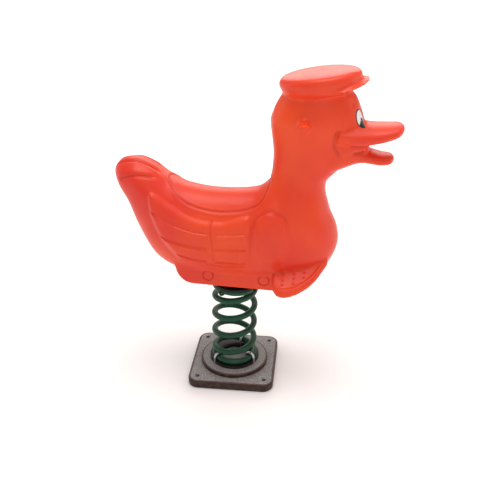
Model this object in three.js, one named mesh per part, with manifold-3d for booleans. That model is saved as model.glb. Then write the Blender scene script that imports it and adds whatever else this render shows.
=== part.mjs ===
// A playground spring rider in the shape of a duck: a hollow moulded duck on a coil spring that
// is clamped to a cast base plate. Millimetres, +Z up, +X the way the duck faces, +Y its left.
// The origin is on the ground, on the spring's axis. The duck is drawn level and then sits on
// the spring a little nose down.

import * as THREE from 'three';
import { mergeVertices } from 'three/addons/utils/BufferGeometryUtils.js';
import Module from 'manifold-3d';

const wasm = await Module();
wasm.setup();

const { PI, abs, cos, max, min, sign, sin, sqrt } = Math;
const radians = THREE.MathUtils.degToRad;

// ---------- Driving dimensions ----------

const GAP = 0.3; // clearance kept between pieces that touch

const PLATE = { side: 280, corner: 34, thick: 28, edge: 5 };
const POCKET = { inner: 34, outer: 96, depth: 16, rib: 10 };
const ANCHOR = { pitch: 220, radius: 7 };
const DISC = { radius: 112, thick: 13, edge: 4 };
const SEAT_RING = { inner: 42, outer: 82, thick: 8, edge: 1.5 };

const WIRE = 20; // wire diameter
const COIL = 65; // radius of the wire's centre line
const RISE = 268; // climb of the wire from one closed end to the other
// Places along the wire, in turns from the one that passes the duck's right side lowest down.
const TURNS = { start: -0.235, riseStart: 0.42, riseEnd: 4.47, end: 5.16 };
const CUTS = { first: 0.6, step: 0.75, count: 6 };
const CORNER_EASE = 0.03; // how softly the wire leaves its closed ends

const SIT = radians(2.5); // how far the duck sits nose down

const ROD = 4; // radius of the clamp rods
const NUT = { flats: 13, height: 6.5 };
const FOOT_CLAMPS = [222, 330, 72]; // bearings of the base clamps round the spring
const HEAD_CLAMPS = [240, 170, 100];
const RIB_BEARINGS = [21, 147, 276];

const WALL = 6; // thickness of the moulded shell
const KEEL = { half: 80, bottom: 353, top: 440, back: -186, front: 185, round: 8 };
const FLOOR_HOLE = 50; // radius of the opening in the keel's floor
const TOP_PLATE = { radius: 78, thick: 6, hub: 40 };
const CHANNEL = { back: -108, front: 116, half: 72, height: 60, thick: 6 };
const CROSS_BOLTS = { rear: -77, front: 95, level: 391, radius: 5, flats: 17, head: 6.4 };
const PLUG = { radius: 18, rim: 12.5, thick: 2.6, spigot: 14.4 };
const HUB_SCREWS = { circle: 27, radius: 5, bearings: [30, 150, 270] };

const HANDLE = { x: 180, z: 886, bar: 10, reach: 119, boss: 19.5, bossEnd: 84 };
const GRIP = { radius: 14.5, collar: 16.5, root: 84.5, tip: 127 };
const EYE = { x: 330, y: 35, z: 906, half: 14, height: 25, turn: 36, lean: 16, thick: 1.6 };

const DISC_BOTTOM = PLATE.thick + GAP;
const DISC_TOP = DISC_BOTTOM + DISC.thick;
const RING_BOTTOM = DISC_TOP + GAP;
const FOOT_Z = RING_BOTTOM + SEAT_RING.thick + GAP + WIRE / 2;
const HEAD_Z = FOOT_Z + RISE;
const SIT_PIVOT = (FOOT_Z + HEAD_Z) / 2;
const TOP_PLATE_Z = HEAD_Z + WIRE / 2 + GAP;
const CHANNEL_Z = KEEL.bottom + WALL + GAP;
const HAIRPIN_STEPS = 10;
const CLAMP_HALF = WIRE / 2 + ROD + 0.6;

// ---------- Finishes ----------

function finish(color, roughness, metalness) {
  return new THREE.MeshStandardMaterial({ color, roughness, metalness });
}

const FINISH = {
  shell: () => finish(0xf0452f, 0.38, 0),
  spring: () => finish(0x23553c, 0.45, 0.1),
  casting: () => finish(0x77726f, 0.7, 0.5),
  blackSteel: () => finish(0x2a2624, 0.6, 0.5),
  zinc: () => finish(0xb9bcc2, 0.35, 0.9),
  eye: () => finish(0xf4f4f2, 0.3, 0),
};

// ---------- Joining and cutting ----------

function toSolid(geometry) {
  const bare = geometry.clone();
  bare.deleteAttribute('normal');
  bare.deleteAttribute('uv');
  const merged = mergeVertices(bare, 1e-4);
  return new wasm.Manifold(new wasm.Mesh({
    numProp: 3,
    vertProperties: new Float32Array(merged.attributes.position.array),
    triVerts: new Uint32Array(merged.index.array),
  }));
}

function toGeometry(solid) {
  const mesh = solid.getMesh();
  const geometry = new THREE.BufferGeometry();
  geometry.setAttribute('position', new THREE.BufferAttribute(mesh.vertProperties, 3));
  geometry.setIndex(new THREE.BufferAttribute(mesh.triVerts, 1));
  geometry.computeVertexNormals();
  return geometry;
}

function join(geometries) {
  return geometries.map(toSolid).reduce((whole, next) => whole.add(next));
}

function cut(solid, geometries) {
  return geometries.map(toSolid).reduce((rest, next) => rest.subtract(next), solid);
}

// ---------- Shared shapes ----------

function onCircle(radius, bearing) {
  return [radius * cos(radians(bearing)), radius * sin(radians(bearing))];
}

function post(radius, bottom, top, x, y, sides = 12) {
  const geometry = new THREE.CylinderGeometry(radius, radius, top - bottom, sides);
  return geometry.rotateX(PI / 2).translate(x, y, (bottom + top) / 2);
}

function crossBar(radius, from, to, x, z, sides = 16) {
  return new THREE.CylinderGeometry(radius, radius, to - from, sides).translate(x, (from + to) / 2, z);
}

// A ring or disc turned about the vertical axis. The profile is a list of [radius, height].
function turned(profile, sides) {
  const points = profile.map(([radius, height]) => new THREE.Vector2(radius, height));
  return new THREE.LatheGeometry(points, sides).rotateX(PI / 2);
}

function hexagon(flats) {
  const corner = flats / sqrt(3);
  const bearings = [0, 60, 120, 180, 240, 300];
  return new THREE.Shape(bearings.map((bearing) => new THREE.Vector2(...onCircle(corner, bearing))));
}

function nutGeometry(flats, height, boreRadius) {
  const shape = hexagon(flats);
  shape.holes.push(new THREE.Path().absarc(0, 0, boreRadius, 0, 2 * PI, true));
  return new THREE.ExtrudeGeometry(shape, { depth: height, bevelEnabled: false, curveSegments: 5 });
}

// A hexagon-headed screw standing head up: the head rests on level 0 and the shank hangs below.
function screwGeometry(flats, head, radius, length) {
  const top = new THREE.ExtrudeGeometry(hexagon(flats), { depth: head, bevelEnabled: false });
  return toGeometry(join([top, post(radius, -length, head / 2, 0, 0)]));
}

function roundRod(path, radius, sides, steps) {
  const section = new THREE.Shape().absarc(0, 0, radius, 0, 2 * PI, false);
  return new THREE.ExtrudeGeometry(section, { curveSegments: sides / 2, steps, extrudePath: path });
}

// Reads a table of rows at any station, curving smoothly from row to row.
function rowAt(table, station) {
  const final = table.length - 1;
  const above = table.findIndex((row) => row[0] > station);
  const index = above < 0 ? final - 1 : max(0, above - 1);
  const [a, b] = [table[index], table[index + 1]];
  const before = table[max(index - 1, 0)];
  const after = table[min(index + 2, final)];
  const span = b[0] - a[0];
  const t = (station - a[0]) / span;
  return a.map((value, k) => {
    const slopeA = (b[k] - before[k]) / (b[0] - before[0]);
    const slopeB = (after[k] - value) / (after[0] - a[0]);
    const curve = (2 * t ** 3 - 3 * t ** 2 + 1) * value + (3 * t ** 2 - 2 * t ** 3) * b[k];
    return curve + span * ((t ** 3 - 2 * t ** 2 + t) * slopeA + (t ** 3 - t ** 2) * slopeB);
  });
}

// A rounded body drawn through sections along one direction. place turns a station, its table
// row, the point's place round the section (across, up, each -1 to 1) and the inset into a point.
function loft(table, place, { around, along, round, inset = 0 }) {
  const geometry = new THREE.SphereGeometry(1, around, along);
  const { position, uv } = geometry.attributes;
  const first = table[0][0] + inset;
  const final = table.at(-1)[0] - inset;
  const endRound = max(round - inset, 2);
  for (let i = 0; i < position.count; i++) {
    const station = first + (final - first) * (0.5 + 0.5 * cos(PI * uv.getY(i)));
    const bearing = 2 * PI * uv.getX(i);
    const fromEnd = max(0, endRound - min(station - first, final - station));
    const full = sqrt(max(0, 1 - (fromEnd / endRound) ** 2));
    const point = place(station, rowAt(table, station), -cos(bearing), sin(bearing), full, inset);
    position.setXYZ(i, ...point);
  }
  return geometry;
}

function squarer(value, power) {
  return sign(value) * abs(value) ** power;
}

// Sections across X. A row is [x, lowest, widest level, highest, half width].
function alongX(x, [, low, mid, high, half], across, up, full, inset) {
  const height = up > 0 ? high - mid - inset : mid - low - inset;
  const y = squarer(across, 0.92) * (half - inset) * full;
  return [x, y, mid + squarer(up, 0.92) * height * full];
}

// Sections across Z. A row is [z, back, front, half width].
function alongZ(z, [, back, front, half], across, up, full, inset) {
  const reach = ((front - back) / 2 - inset) * full;
  return [(back + front) / 2 + across * reach, up * (half - inset) * full, z];
}

// ---------- The duck's form, drawn level ----------

const BODY = [
  [-375, 660, 690, 716, 44],
  [-330, 590, 670, 728, 64],
  [-300, 512, 650, 730, 78],
  [-255, 430, 605, 712, 95],
  [-210, 394, 560, 680, 104],
  [-150, 376, 525, 658, 108],
  [-60, 368, 505, 650, 108],
  [60, 368, 500, 666, 107],
  [100, 370, 500, 700, 106],
  [140, 374, 500, 680, 104],
  [190, 384, 500, 610, 98],
  [250, 412, 502, 585, 78],
  [300, 450, 508, 560, 44],
];

const NECK = [
  [400, 50, 256, 62],
  [440, 52, 288, 82],
  [505, 54, 309, 94],
  [560, 58, 302, 96],
  [620, 66, 274, 88],
  [700, 90, 256, 67],
  [745, 96, 290, 65],
  [790, 95, 314, 70],
  [860, 81, 338, 78],
  [890, 82, 345, 79],
  [950, 110, 320, 70],
  [992, 140, 292, 56],
];

const UPPER_BEAK = [
  [262, 834, 855, 878, 80],
  [330, 826, 849, 886, 78],
  [370, 830, 853, 884, 68],
  [420, 843, 865, 887, 57],
  [458, 860, 876, 893, 40],
];

const LOWER_BEAK = [
  [240, 720, 780, 826, 62],
  [295, 748, 792, 826, 62],
  [345, 770, 794, 816, 48],
  [400, 767, 785, 801, 42],
  [441, 770, 786, 801, 28],
];

// The corners of the mouth, between the two halves of the beak.
const CHEEK = [
  [255, 775, 815, 862, 66],
  [310, 780, 818, 860, 63],
  [366, 806, 824, 842, 40],
];

// The flat cap and its peak are drawn about their own middle and then tilted back.
const CAP = [
  [-26, -94, 92, 73],
  [-12, -106, 105, 86],
  [5, -114, 112, 92],
  [18, -113, 113, 92],
  [28, -102, 105, 85],
  [34, -92, 96, 77],
];
const CAP_PLACE = { x: 214, z: 986, tilt: radians(-10.5) };
const PEAK = [
  [-10, -70, 93, 80],
  [-2, -72, 105, 90],
  [7, -70, 102, 86],
];
const PEAK_PLACE = { x: 246, z: 977, tilt: radians(-18) };

// Plan of the right-hand footrest and the slope of its tread.
const FOOTREST = {
  plan: [[150, -60], [122, -92], [124, -128], [142, -148], [170, -152], [205, -142], [242, -118],
    [268, -86], [284, -50], [230, -30]],
  thick: 26,
  round: 9,
  at: [121, -88, 419],
  slopeX: 0.15,
  slopeY: 0.62,
};

function capGeometry(inset, fine) {
  const { x, z, tilt } = CAP_PLACE;
  const size = fine ? { around: 24, along: 10 } : { around: 12, along: 6 };
  const cap = loft(CAP, alongZ, { ...size, round: 7, inset });
  return cap.rotateY(tilt).translate(x, 0, z);
}

function peakGeometry() {
  const { x, z, tilt } = PEAK_PLACE;
  const peak = loft(PEAK, alongZ, { around: 24, along: 5, round: 8 });
  return peak.rotateY(tilt).translate(x, 0, z);
}

function keelGeometry(inset) {
  const { half, bottom, top, back, front, round } = KEEL;
  const shape = new THREE.Shape();
  shape.moveTo(back, top);
  shape.bezierCurveTo(back + 2, 392, back + 18, bottom, back + 66, bottom);
  shape.lineTo(front - 60, bottom);
  shape.bezierCurveTo(front - 25, bottom, front - 10, 385, front, top);
  const geometry = new THREE.ExtrudeGeometry(shape, {
    depth: 2 * (half - round),
    bevelThickness: round - inset,
    bevelSize: round - inset,
    bevelOffset: -round,
    bevelSegments: 2,
    curveSegments: 7,
  });
  return geometry.rotateX(PI / 2).translate(0, half - round, 0);
}

function footrestGeometry(side, inset) {
  const { plan, thick, round, at, slopeX, slopeY } = FOOTREST;
  const [start, ...others] = plan.map(([x, y]) => new THREE.Vector2(x, -side * y));
  const shape = new THREE.Shape().moveTo(start.x, start.y).splineThru([...others, start]);
  const geometry = new THREE.ExtrudeGeometry(shape, {
    depth: thick - 2 * round,
    bevelThickness: round - inset,
    bevelSize: round - inset,
    bevelOffset: -round,
    bevelSegments: 2,
    curveSegments: 2,
  });
  const slope = -side * slopeY;
  const slant = new THREE.Matrix4().set(
    1, 0, 0, 0,
    0, 1, 0, 0,
    slopeX, slope, 1, at[2] - slopeX * at[0] - slopeY * at[1] - thick / 2 + round,
    0, 0, 0, 1,
  );
  return geometry.applyMatrix4(slant);
}

function bodyGeometry(inset, fine) {
  const size = fine ? { around: 26, along: 26 } : { around: 14, along: 12 };
  return loft(BODY, alongX, { ...size, round: 30, inset });
}

function neckGeometry(inset, fine) {
  const size = fine ? { around: 24, along: 24 } : { around: 12, along: 10 };
  return loft(NECK, alongZ, { ...size, round: 34, inset });
}

function duckForm(inset, fine) {
  const beak = fine ? { around: 16, along: 12 } : { around: 10, along: 6 };
  const parts = [
    bodyGeometry(inset, fine),
    neckGeometry(inset, fine),
    loft(UPPER_BEAK, alongX, { ...beak, round: 20, inset }),
    loft(LOWER_BEAK, alongX, { ...beak, round: 16, inset }),
    loft(CHEEK, alongX, { ...beak, round: 14, inset }),
    capGeometry(inset, fine),
    keelGeometry(inset),
    footrestGeometry(1, inset),
    footrestGeometry(-1, inset),
  ];
  return join(parts);
}

function duckShell() {
  const { x, z, boss, bossEnd, bar, reach } = HANDLE;
  const outside = join([peakGeometry(), crossBar(boss, -bossEnd, bossEnd, x, z, 24)]);
  const holes = [
    crossBar(bar + 0.6, -reach, reach, x, z),
    post(FLOOR_HOLE, KEEL.bottom - 5, KEEL.bottom + 15, 0, 0, 32),
    ...[CROSS_BOLTS.rear, CROSS_BOLTS.front].map((along) => (
      crossBar(PLUG.spigot + 0.6, -KEEL.half - 5, KEEL.half + 5, along, CROSS_BOLTS.level)
    )),
  ];
  const hollow = duckForm(WALL, false);
  return toGeometry(cut(duckForm(0, true).add(outside).subtract(hollow), holes));
}

// An oval eye plate that follows the side of the head. side is 1 on the left, -1 on the right.
function eyeGeometry(side) {
  const { x, y, z, half, height, turn, lean, thick } = EYE;
  const oval = new THREE.Shape().absellipse(0, 0, height, half, 0, 2 * PI, false, 0);
  const blank = new THREE.ExtrudeGeometry(oval, { depth: 60, bevelEnabled: false, curveSegments: 12 });
  // The oval's long way stands up and leans with the face, and its depth runs out of the head.
  blank.translate(0, 0, -30).rotateY(-PI / 2).rotateX(PI).rotateY(radians(-lean));
  blank.rotateZ(PI + side * radians(turn)).translate(x, side * y, z);
  const skin = toSolid(neckGeometry(-GAP - thick, true)).subtract(duckForm(-GAP, true));
  return toGeometry(toSolid(blank).intersect(skin));
}

// ---------- The base ----------

function basePlateGeometry() {
  const { side, corner, thick, edge } = PLATE;
  const far = side / 2 - corner;
  const shape = new THREE.Shape();
  shape.absarc(far, far, corner, 0, PI / 2);
  shape.absarc(-far, far, corner, PI / 2, PI);
  shape.absarc(-far, -far, corner, PI, 1.5 * PI);
  shape.absarc(far, -far, corner, 1.5 * PI, 2 * PI);
  const block = new THREE.ExtrudeGeometry(shape, {
    depth: thick - 2 * edge,
    bevelThickness: edge,
    bevelSize: edge,
    bevelOffset: -edge,
    bevelSegments: 2,
    curveSegments: 3,
  }).translate(0, 0, edge);
  const { inner, outer, depth, rib } = POCKET;
  const pocket = turned([[inner, -1], [outer, -1], [outer, depth], [inner, depth], [inner, -1]], 30);
  const ribs = RIB_BEARINGS.map((bearing) => {
    const box = new THREE.BoxGeometry(outer - inner + 20, rib, 4 * depth);
    return box.translate((inner + outer) / 2, 0, 0).rotateZ(radians(bearing));
  });
  const at = ANCHOR.pitch / 2;
  const anchorHoles = [[1, 1], [-1, 1], [-1, -1], [1, -1]].map(([x, y]) => (
    post(ANCHOR.radius, -1, thick + 1, x * at, y * at, 12)
  ));
  const solid = toSolid(block).subtract(cut(toSolid(pocket), ribs));
  return toGeometry(cut(solid, [...anchorHoles, ...rodHoles(0, thick)]));
}

// Clearance holes for both legs of each base clamp.
function rodHoles(bottom, top) {
  return FOOT_CLAMPS.flatMap((bearing) => [COIL - CLAMP_HALF, COIL + CLAMP_HALF].map((radius) => (
    post(ROD + 0.8, bottom - 1, top + 1, ...onCircle(radius, bearing))
  )));
}

function springDiscGeometry() {
  const { radius, thick, edge } = DISC;
  const round = [0, 30, 60, 90].map((angle) => [
    radius - edge + edge * cos(radians(angle)),
    thick - edge + edge * sin(radians(angle)),
  ]);
  const profile = [[0, 0], [radius - 1.5, 0], [radius, 1.5], ...round, [0, thick]];
  return toGeometry(cut(toSolid(turned(profile, 36)), rodHoles(0, thick)));
}

function seatRingGeometry() {
  const { inner, outer, thick, edge } = SEAT_RING;
  const profile = [
    [inner, 0], [outer, 0], [outer, thick - edge], [outer - edge, thick], [inner, thick], [inner, 0],
  ];
  return toGeometry(cut(toSolid(turned(profile, 36)), rodHoles(0, thick)));
}

// ---------- The spring ----------

// How far the wire has climbed, 0 to 1, with its closed ends lying flat.
function climbed(turn) {
  const { riseStart, riseEnd } = TURNS;
  const s = (turn - riseStart) / (riseEnd - riseStart);
  const ease = CORNER_EASE ** 2;
  return (sqrt(s ** 2 + ease) - sqrt((s - 1) ** 2 + ease) + 1) / 2;
}

// A point on the wire's centre line. The spring leans forward evenly over its height.
function wirePoint(turn, target = new THREE.Vector3()) {
  const share = climbed(turn);
  const lean = SIT * share;
  const bearing = 2 * PI * turn - PI / 2;
  const across = COIL * cos(bearing);
  const bend = RISE / SIT;
  return target.set(
    bend * (1 - cos(lean)) + across * cos(lean),
    COIL * sin(bearing),
    FOOT_Z + bend * sin(lean) - across * sin(lean),
  );
}

class WirePath extends THREE.Curve {
  constructor(from, to) {
    super();
    this.from = from;
    this.to = to;
  }

  getPoint(t, target) {
    return wirePoint(THREE.MathUtils.lerp(this.from, this.to, t), target);
  }
}

function wireGeometry(from, to) {
  const slit = 0.2 / (2 * PI * COIL);
  const steps = Math.round((to - from) * 22);
  return roundRod(new WirePath(from + slit, to - slit), WIRE / 2, 10, steps);
}

// ---------- Clamps ----------

// A rod bent into an upright hairpin about its own middle, with legs of the given lengths. Each
// leg is drawn in one step and the bend in the others, so places go by t and not by length.
class HairpinPath extends THREE.Curve {
  constructor(half, inner, outer) {
    super();
    Object.assign(this, { half, inner, outer });
  }

  getPoint(t, target = new THREE.Vector3()) {
    const { half, inner, outer } = this;
    const bent = (t * HAIRPIN_STEPS - 1) / (HAIRPIN_STEPS - 2);
    if (bent < 0) return target.set(-half, 0, (t * HAIRPIN_STEPS - 1) * inner);
    if (bent > 1) return target.set(half, 0, (1 - t) * HAIRPIN_STEPS * outer - outer);
    return target.set(-half * cos(PI * bent), 0, half * sin(PI * bent));
  }

  getPointAt(t, target) {
    return this.getPoint(t, target);
  }

  getTangentAt(t, target) {
    return this.getTangent(t, target);
  }
}

function hairpin(inner, outer) {
  return roundRod(new HairpinPath(CLAMP_HALF, inner, outer), ROD, 8, HAIRPIN_STEPS);
}

// ---------- Handles, plugs and the keel's metalwork ----------

function gripGeometry() {
  const { radius, collar, root, tip } = GRIP;
  const bore = HANDLE.bar + GAP;
  const end = HANDLE.reach + GAP;
  const profile = [
    [0, end], [bore, end], [bore, root], [collar - 1.5, root], [collar, root + 1.5],
    [collar, root + 4.5], [radius, root + 8], [radius, tip - 6], [radius - 1.8, tip - 1.8],
    [radius - 6, tip], [0, tip],
  ];
  const points = profile.map(([r, y]) => new THREE.Vector2(r, y));
  return new THREE.LatheGeometry(points, 16);
}

function plugGeometry() {
  const { radius, rim, thick, spigot } = PLUG;
  const profile = [
    [0, 0], [rim, 0], [rim, -5], [spigot, -5], [spigot, 0], [radius, 0], [radius, thick - 1.2],
    [radius - 1.2, thick], [0, thick],
  ];
  return turned(profile, 16);
}

function topPlateGeometry() {
  const { radius, thick, hub } = TOP_PLATE;
  const hubTop = CHANNEL_Z - GAP - TOP_PLATE_Z;
  const profile = [
    [0, 0], [radius - 1, 0], [radius, 1], [radius, thick], [hub, thick], [hub, hubTop], [0, hubTop],
  ];
  const rods = HEAD_CLAMPS.map((bearing) => (
    post(ROD + 0.8, -1, thick + 1, ...onCircle(COIL - CLAMP_HALF, bearing))
  ));
  const screws = HUB_SCREWS.bearings.map((bearing) => (
    post(HUB_SCREWS.radius + 0.4, 4, hubTop + 1, ...onCircle(HUB_SCREWS.circle, bearing))
  ));
  return toGeometry(cut(toSolid(turned(profile, 32)), [...rods, ...screws]));
}

function channelGeometry() {
  const { back, front, half, height, thick } = CHANNEL;
  const shape = new THREE.Shape([
    [-half, 0], [half, 0], [half, height], [half - thick, height], [half - thick, thick],
    [thick - half, thick], [thick - half, height], [-half, height],
  ].map(([y, z]) => new THREE.Vector2(y, z)));
  const bar = new THREE.ExtrudeGeometry(shape, { depth: front - back, bevelEnabled: false });
  const alongX = new THREE.Matrix4().makeBasis(
    new THREE.Vector3(0, 1, 0), new THREE.Vector3(0, 0, 1), new THREE.Vector3(1, 0, 0),
  );
  bar.applyMatrix4(alongX).translate(back, 0, CHANNEL_Z);
  const { circle, radius, bearings } = HUB_SCREWS;
  const screws = bearings.map((bearing) => (
    post(radius + 0.4, CHANNEL_Z - 1, CHANNEL_Z + thick + 1, ...onCircle(circle, bearing))
  ));
  const crossHoles = [CROSS_BOLTS.rear, CROSS_BOLTS.front].map((x) => (
    crossBar(CROSS_BOLTS.radius + 0.5, -half - 1, half + 1, x, CROSS_BOLTS.level)
  ));
  return toGeometry(cut(toSolid(bar), [...screws, ...crossHoles]));
}

// ---------- Assembly ----------

function piece(parent, name, geometry, material, place = [0, 0, 0], turn = [0, 0, 0]) {
  const mesh = new THREE.Mesh(geometry, material);
  mesh.name = name;
  mesh.position.set(...place);
  mesh.rotation.set(...turn);
  parent.add(mesh);
}

function addBase(parent) {
  piece(parent, 'base_plate', basePlateGeometry(), FINISH.casting());
  piece(parent, 'spring_disc', springDiscGeometry(), FINISH.casting(), [0, 0, DISC_BOTTOM]);
  piece(parent, 'seat_ring', seatRingGeometry(), FINISH.blackSteel(), [0, 0, RING_BOTTOM]);
  const nutZ = POCKET.depth - GAP - NUT.height;
  FOOT_CLAMPS.forEach((bearing, i) => {
    const level = wirePoint((bearing + 90) / 360 - (bearing > 180 ? 1 : 0)).z;
    const leg = level - nutZ + 3;
    const rod = hairpin(leg, leg);
    const place = [...onCircle(COIL, bearing), level];
    piece(parent, `base_u_bolt_${i + 1}`, rod, FINISH.zinc(), place, [0, 0, radians(bearing)]);
    [COIL - CLAMP_HALF, COIL + CLAMP_HALF].forEach((radius, k) => {
      const nut = nutGeometry(NUT.flats, NUT.height, ROD + GAP);
      const name = `base_nut_${2 * i + k + 1}`;
      piece(parent, name, nut, FINISH.zinc(), [...onCircle(radius, bearing), nutZ]);
    });
  });
}

function addSpring(parent) {
  const { first, step, count } = CUTS;
  piece(parent, 'spring_foot_coil', wireGeometry(TURNS.start, first), FINISH.spring());
  for (let i = 1; i < count; i++) {
    const from = first + (i - 1) * step;
    piece(parent, `spring_turn_${i}`, wireGeometry(from, from + step), FINISH.spring());
  }
  const last = first + (count - 1) * step;
  piece(parent, 'spring_head_coil', wireGeometry(last, TURNS.end), FINISH.spring());
}

function addTopClamps(parent) {
  piece(parent, 'spring_top_plate', topPlateGeometry(), FINISH.blackSteel(), [0, 0, TOP_PLATE_Z]);
  const nutZ = TOP_PLATE_Z + TOP_PLATE.thick + GAP;
  HEAD_CLAMPS.forEach((bearing, i) => {
    const wireZ = FOOT_Z + RISE * climbed(4 + (bearing + 90) / 360);
    const leg = nutZ + NUT.height + 0.8 - wireZ;
    const hook = hairpin(leg, 1).rotateX(PI);
    const place = [...onCircle(COIL, bearing), wireZ];
    piece(parent, `top_hook_bolt_${i + 1}`, hook, FINISH.blackSteel(), place, [0, 0, radians(bearing)]);
    const nut = nutGeometry(NUT.flats, NUT.height, ROD + GAP);
    const inner = onCircle(COIL - CLAMP_HALF, bearing);
    piece(parent, `top_nut_${i + 1}`, nut, FINISH.zinc(), [...inner, nutZ]);
  });
}

function addKeelMetalwork(parent) {
  piece(parent, 'carrier_channel', channelGeometry(), FINISH.blackSteel());
  const seat = CHANNEL_Z + CHANNEL.thick + GAP;
  HUB_SCREWS.bearings.forEach((bearing, i) => {
    const screw = screwGeometry(17, 6.4, HUB_SCREWS.radius, 20);
    const [x, y] = onCircle(HUB_SCREWS.circle, bearing);
    piece(parent, `hub_screw_${i + 1}`, screw, FINISH.zinc(), [x, y, seat]);
  });
  const { level, radius, flats, head } = CROSS_BOLTS;
  const face = CHANNEL.half + GAP;
  ['rear', 'front'].forEach((end) => {
    const x = CROSS_BOLTS[end];
    const out = KEEL.half + GAP;
    const toRight = [PI / 2, 0, 0];
    const toLeft = [-PI / 2, 0, 0];
    const bolt = screwGeometry(flats, head, radius, 2 * face + head);
    const nut = nutGeometry(flats, head, radius + GAP);
    piece(parent, `keel_bolt_${end}`, bolt, FINISH.zinc(), [x, -face, level], toRight);
    piece(parent, `keel_nut_${end}`, nut, FINISH.zinc(), [x, face, level], toLeft);
    piece(parent, `keel_plug_${end}_right`, plugGeometry(), FINISH.shell(), [x, -out, level], toRight);
    piece(parent, `keel_plug_${end}_left`, plugGeometry(), FINISH.shell(), [x, out, level], toLeft);
  });
}

function addDuck(parent) {
  const { x, z, bar, reach } = HANDLE;
  piece(parent, 'duck_shell', duckShell(), FINISH.shell());
  piece(parent, 'handle_bar', crossBar(bar, -reach, reach, 0, 0), FINISH.zinc(), [x, 0, z]);
  piece(parent, 'grip_left', gripGeometry(), FINISH.shell(), [x, 0, z]);
  piece(parent, 'grip_right', gripGeometry(), FINISH.shell(), [x, 0, z], [0, 0, PI]);
  piece(parent, 'eye_left', eyeGeometry(1), FINISH.eye());
  piece(parent, 'eye_right', eyeGeometry(-1), FINISH.eye());
}

const group = new THREE.Group();
addBase(group);
addSpring(group);

// Everything above the spring is drawn level about the pivot and then leans forward by SIT.
const seated = new THREE.Group();
seated.position.set(0, 0, SIT_PIVOT);
seated.rotation.y = SIT;
const level = new THREE.Group();
level.position.set(0, 0, -SIT_PIVOT);
seated.add(level);
group.add(seated);
addTopClamps(level);
addKeelMetalwork(level);
addDuck(level);

export default group;
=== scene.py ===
# %% [markdown]
# # A duck that rocks on a spring
#
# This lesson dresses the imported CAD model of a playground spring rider: a hollow moulded duck
# on a coil spring that is clamped to a cast base plate. The CAD says where everything is and
# how it moves. Here each piece gets its finished surface and its material. Lengths are written
# in millimetres and scaled to Blender's metres when a piece is finished.

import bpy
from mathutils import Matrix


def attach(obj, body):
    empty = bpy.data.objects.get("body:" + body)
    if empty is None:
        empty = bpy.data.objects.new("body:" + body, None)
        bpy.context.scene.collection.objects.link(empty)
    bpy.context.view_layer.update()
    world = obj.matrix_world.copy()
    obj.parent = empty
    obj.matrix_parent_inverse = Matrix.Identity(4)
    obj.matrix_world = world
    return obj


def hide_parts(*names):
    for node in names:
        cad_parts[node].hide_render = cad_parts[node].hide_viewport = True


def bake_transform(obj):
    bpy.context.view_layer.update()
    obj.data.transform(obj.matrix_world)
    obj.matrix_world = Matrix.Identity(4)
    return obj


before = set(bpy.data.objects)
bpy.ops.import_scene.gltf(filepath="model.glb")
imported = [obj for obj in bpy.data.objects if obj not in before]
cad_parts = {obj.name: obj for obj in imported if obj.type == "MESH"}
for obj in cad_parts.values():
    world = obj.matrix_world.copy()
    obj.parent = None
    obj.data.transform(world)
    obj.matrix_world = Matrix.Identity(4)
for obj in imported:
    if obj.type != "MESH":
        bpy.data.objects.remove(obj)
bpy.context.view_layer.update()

# %% The modules and words used below
import math

import bmesh
import bpy
from mathutils import Matrix, Vector
from mathutils.bvhtree import BVHTree
from mathutils.kdtree import KDTree

MM = 0.001
UP = Vector((0, 0, 1))
RIDER_SIDES = {"right": -1, "left": 1}

# %% [markdown]
# ## The camera
#
# The duck is seen from its right, a little from behind and well from above, as a grown-up
# standing beside it sees it. The camera is placed by its angle round the base plate, its
# distance, and how far it then steps sideways and up, with no lens shift.

# %% Set up the camera
AZIMUTH = math.radians(6.04)
ELEVATION = math.radians(27.9)
DISTANCE, STEP_RIGHT, STEP_UP = 2283.6, 52.8, 368.5
PLATE_TOP = 28

back = Vector((math.sin(AZIMUTH) * math.cos(ELEVATION),
               -math.cos(AZIMUTH) * math.cos(ELEVATION),
               math.sin(ELEVATION)))
right = Vector((math.cos(AZIMUTH), math.sin(AZIMUTH), 0))
above = back.cross(right)
eye_point = DISTANCE * back + STEP_RIGHT * right + STEP_UP * above + PLATE_TOP * UP

camera_data = bpy.data.cameras.new("camera")
camera_data.sensor_width = 36
camera_data.lens = 47.87
camera = bpy.data.objects.new("camera", camera_data)
camera.location = eye_point * MM
camera.rotation_euler = back.to_track_quat("Z", "Y").to_euler()
bpy.context.scene.collection.objects.link(camera)
bpy.context.scene.camera = camera
print("camera at", [round(n, 3) for n in camera.location])

# %% [markdown]
# ## Finishing a piece
#
# Every piece below is shaped in a bmesh and finished the same way: its normals are made to
# point outwards, edges sharper than a given angle stay crisp while the rest is shaded smooth,
# and the mesh is scaled to metres. The object itself stays at the origin.

# %% A helper that turns a bmesh into a finished piece
def finished(shape, name, material, crisp=32):
    bmesh.ops.recalc_face_normals(shape, faces=shape.faces)
    bmesh.ops.scale(shape, vec=(MM, MM, MM), verts=shape.verts)
    mesh = bpy.data.meshes.new(name)
    shape.to_mesh(mesh)
    shape.free()
    mesh.shade_smooth()
    mesh.set_sharp_from_angle(angle=math.radians(crisp))
    mesh.materials.append(material)
    piece = bpy.data.objects.new(name, mesh)
    bpy.context.scene.collection.objects.link(piece)
    print(f"{name}: {len(mesh.polygons)} faces")
    return piece


# %% Helpers that repeat one small step of shaping
def bevelled(shape, edges, size, segments):
    bmesh.ops.bevel(shape, geom=edges, offset=size, segments=segments, profile=0.5,
                    affect="EDGES", material=-1)


def eased(shape, verts, factor):
    bmesh.ops.smooth_vert(shape, verts=verts, factor=factor, use_axis_x=True, use_axis_y=True,
                          use_axis_z=True)


def verts_in(items):
    return [item for item in items if isinstance(item, bmesh.types.BMVert)]


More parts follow.
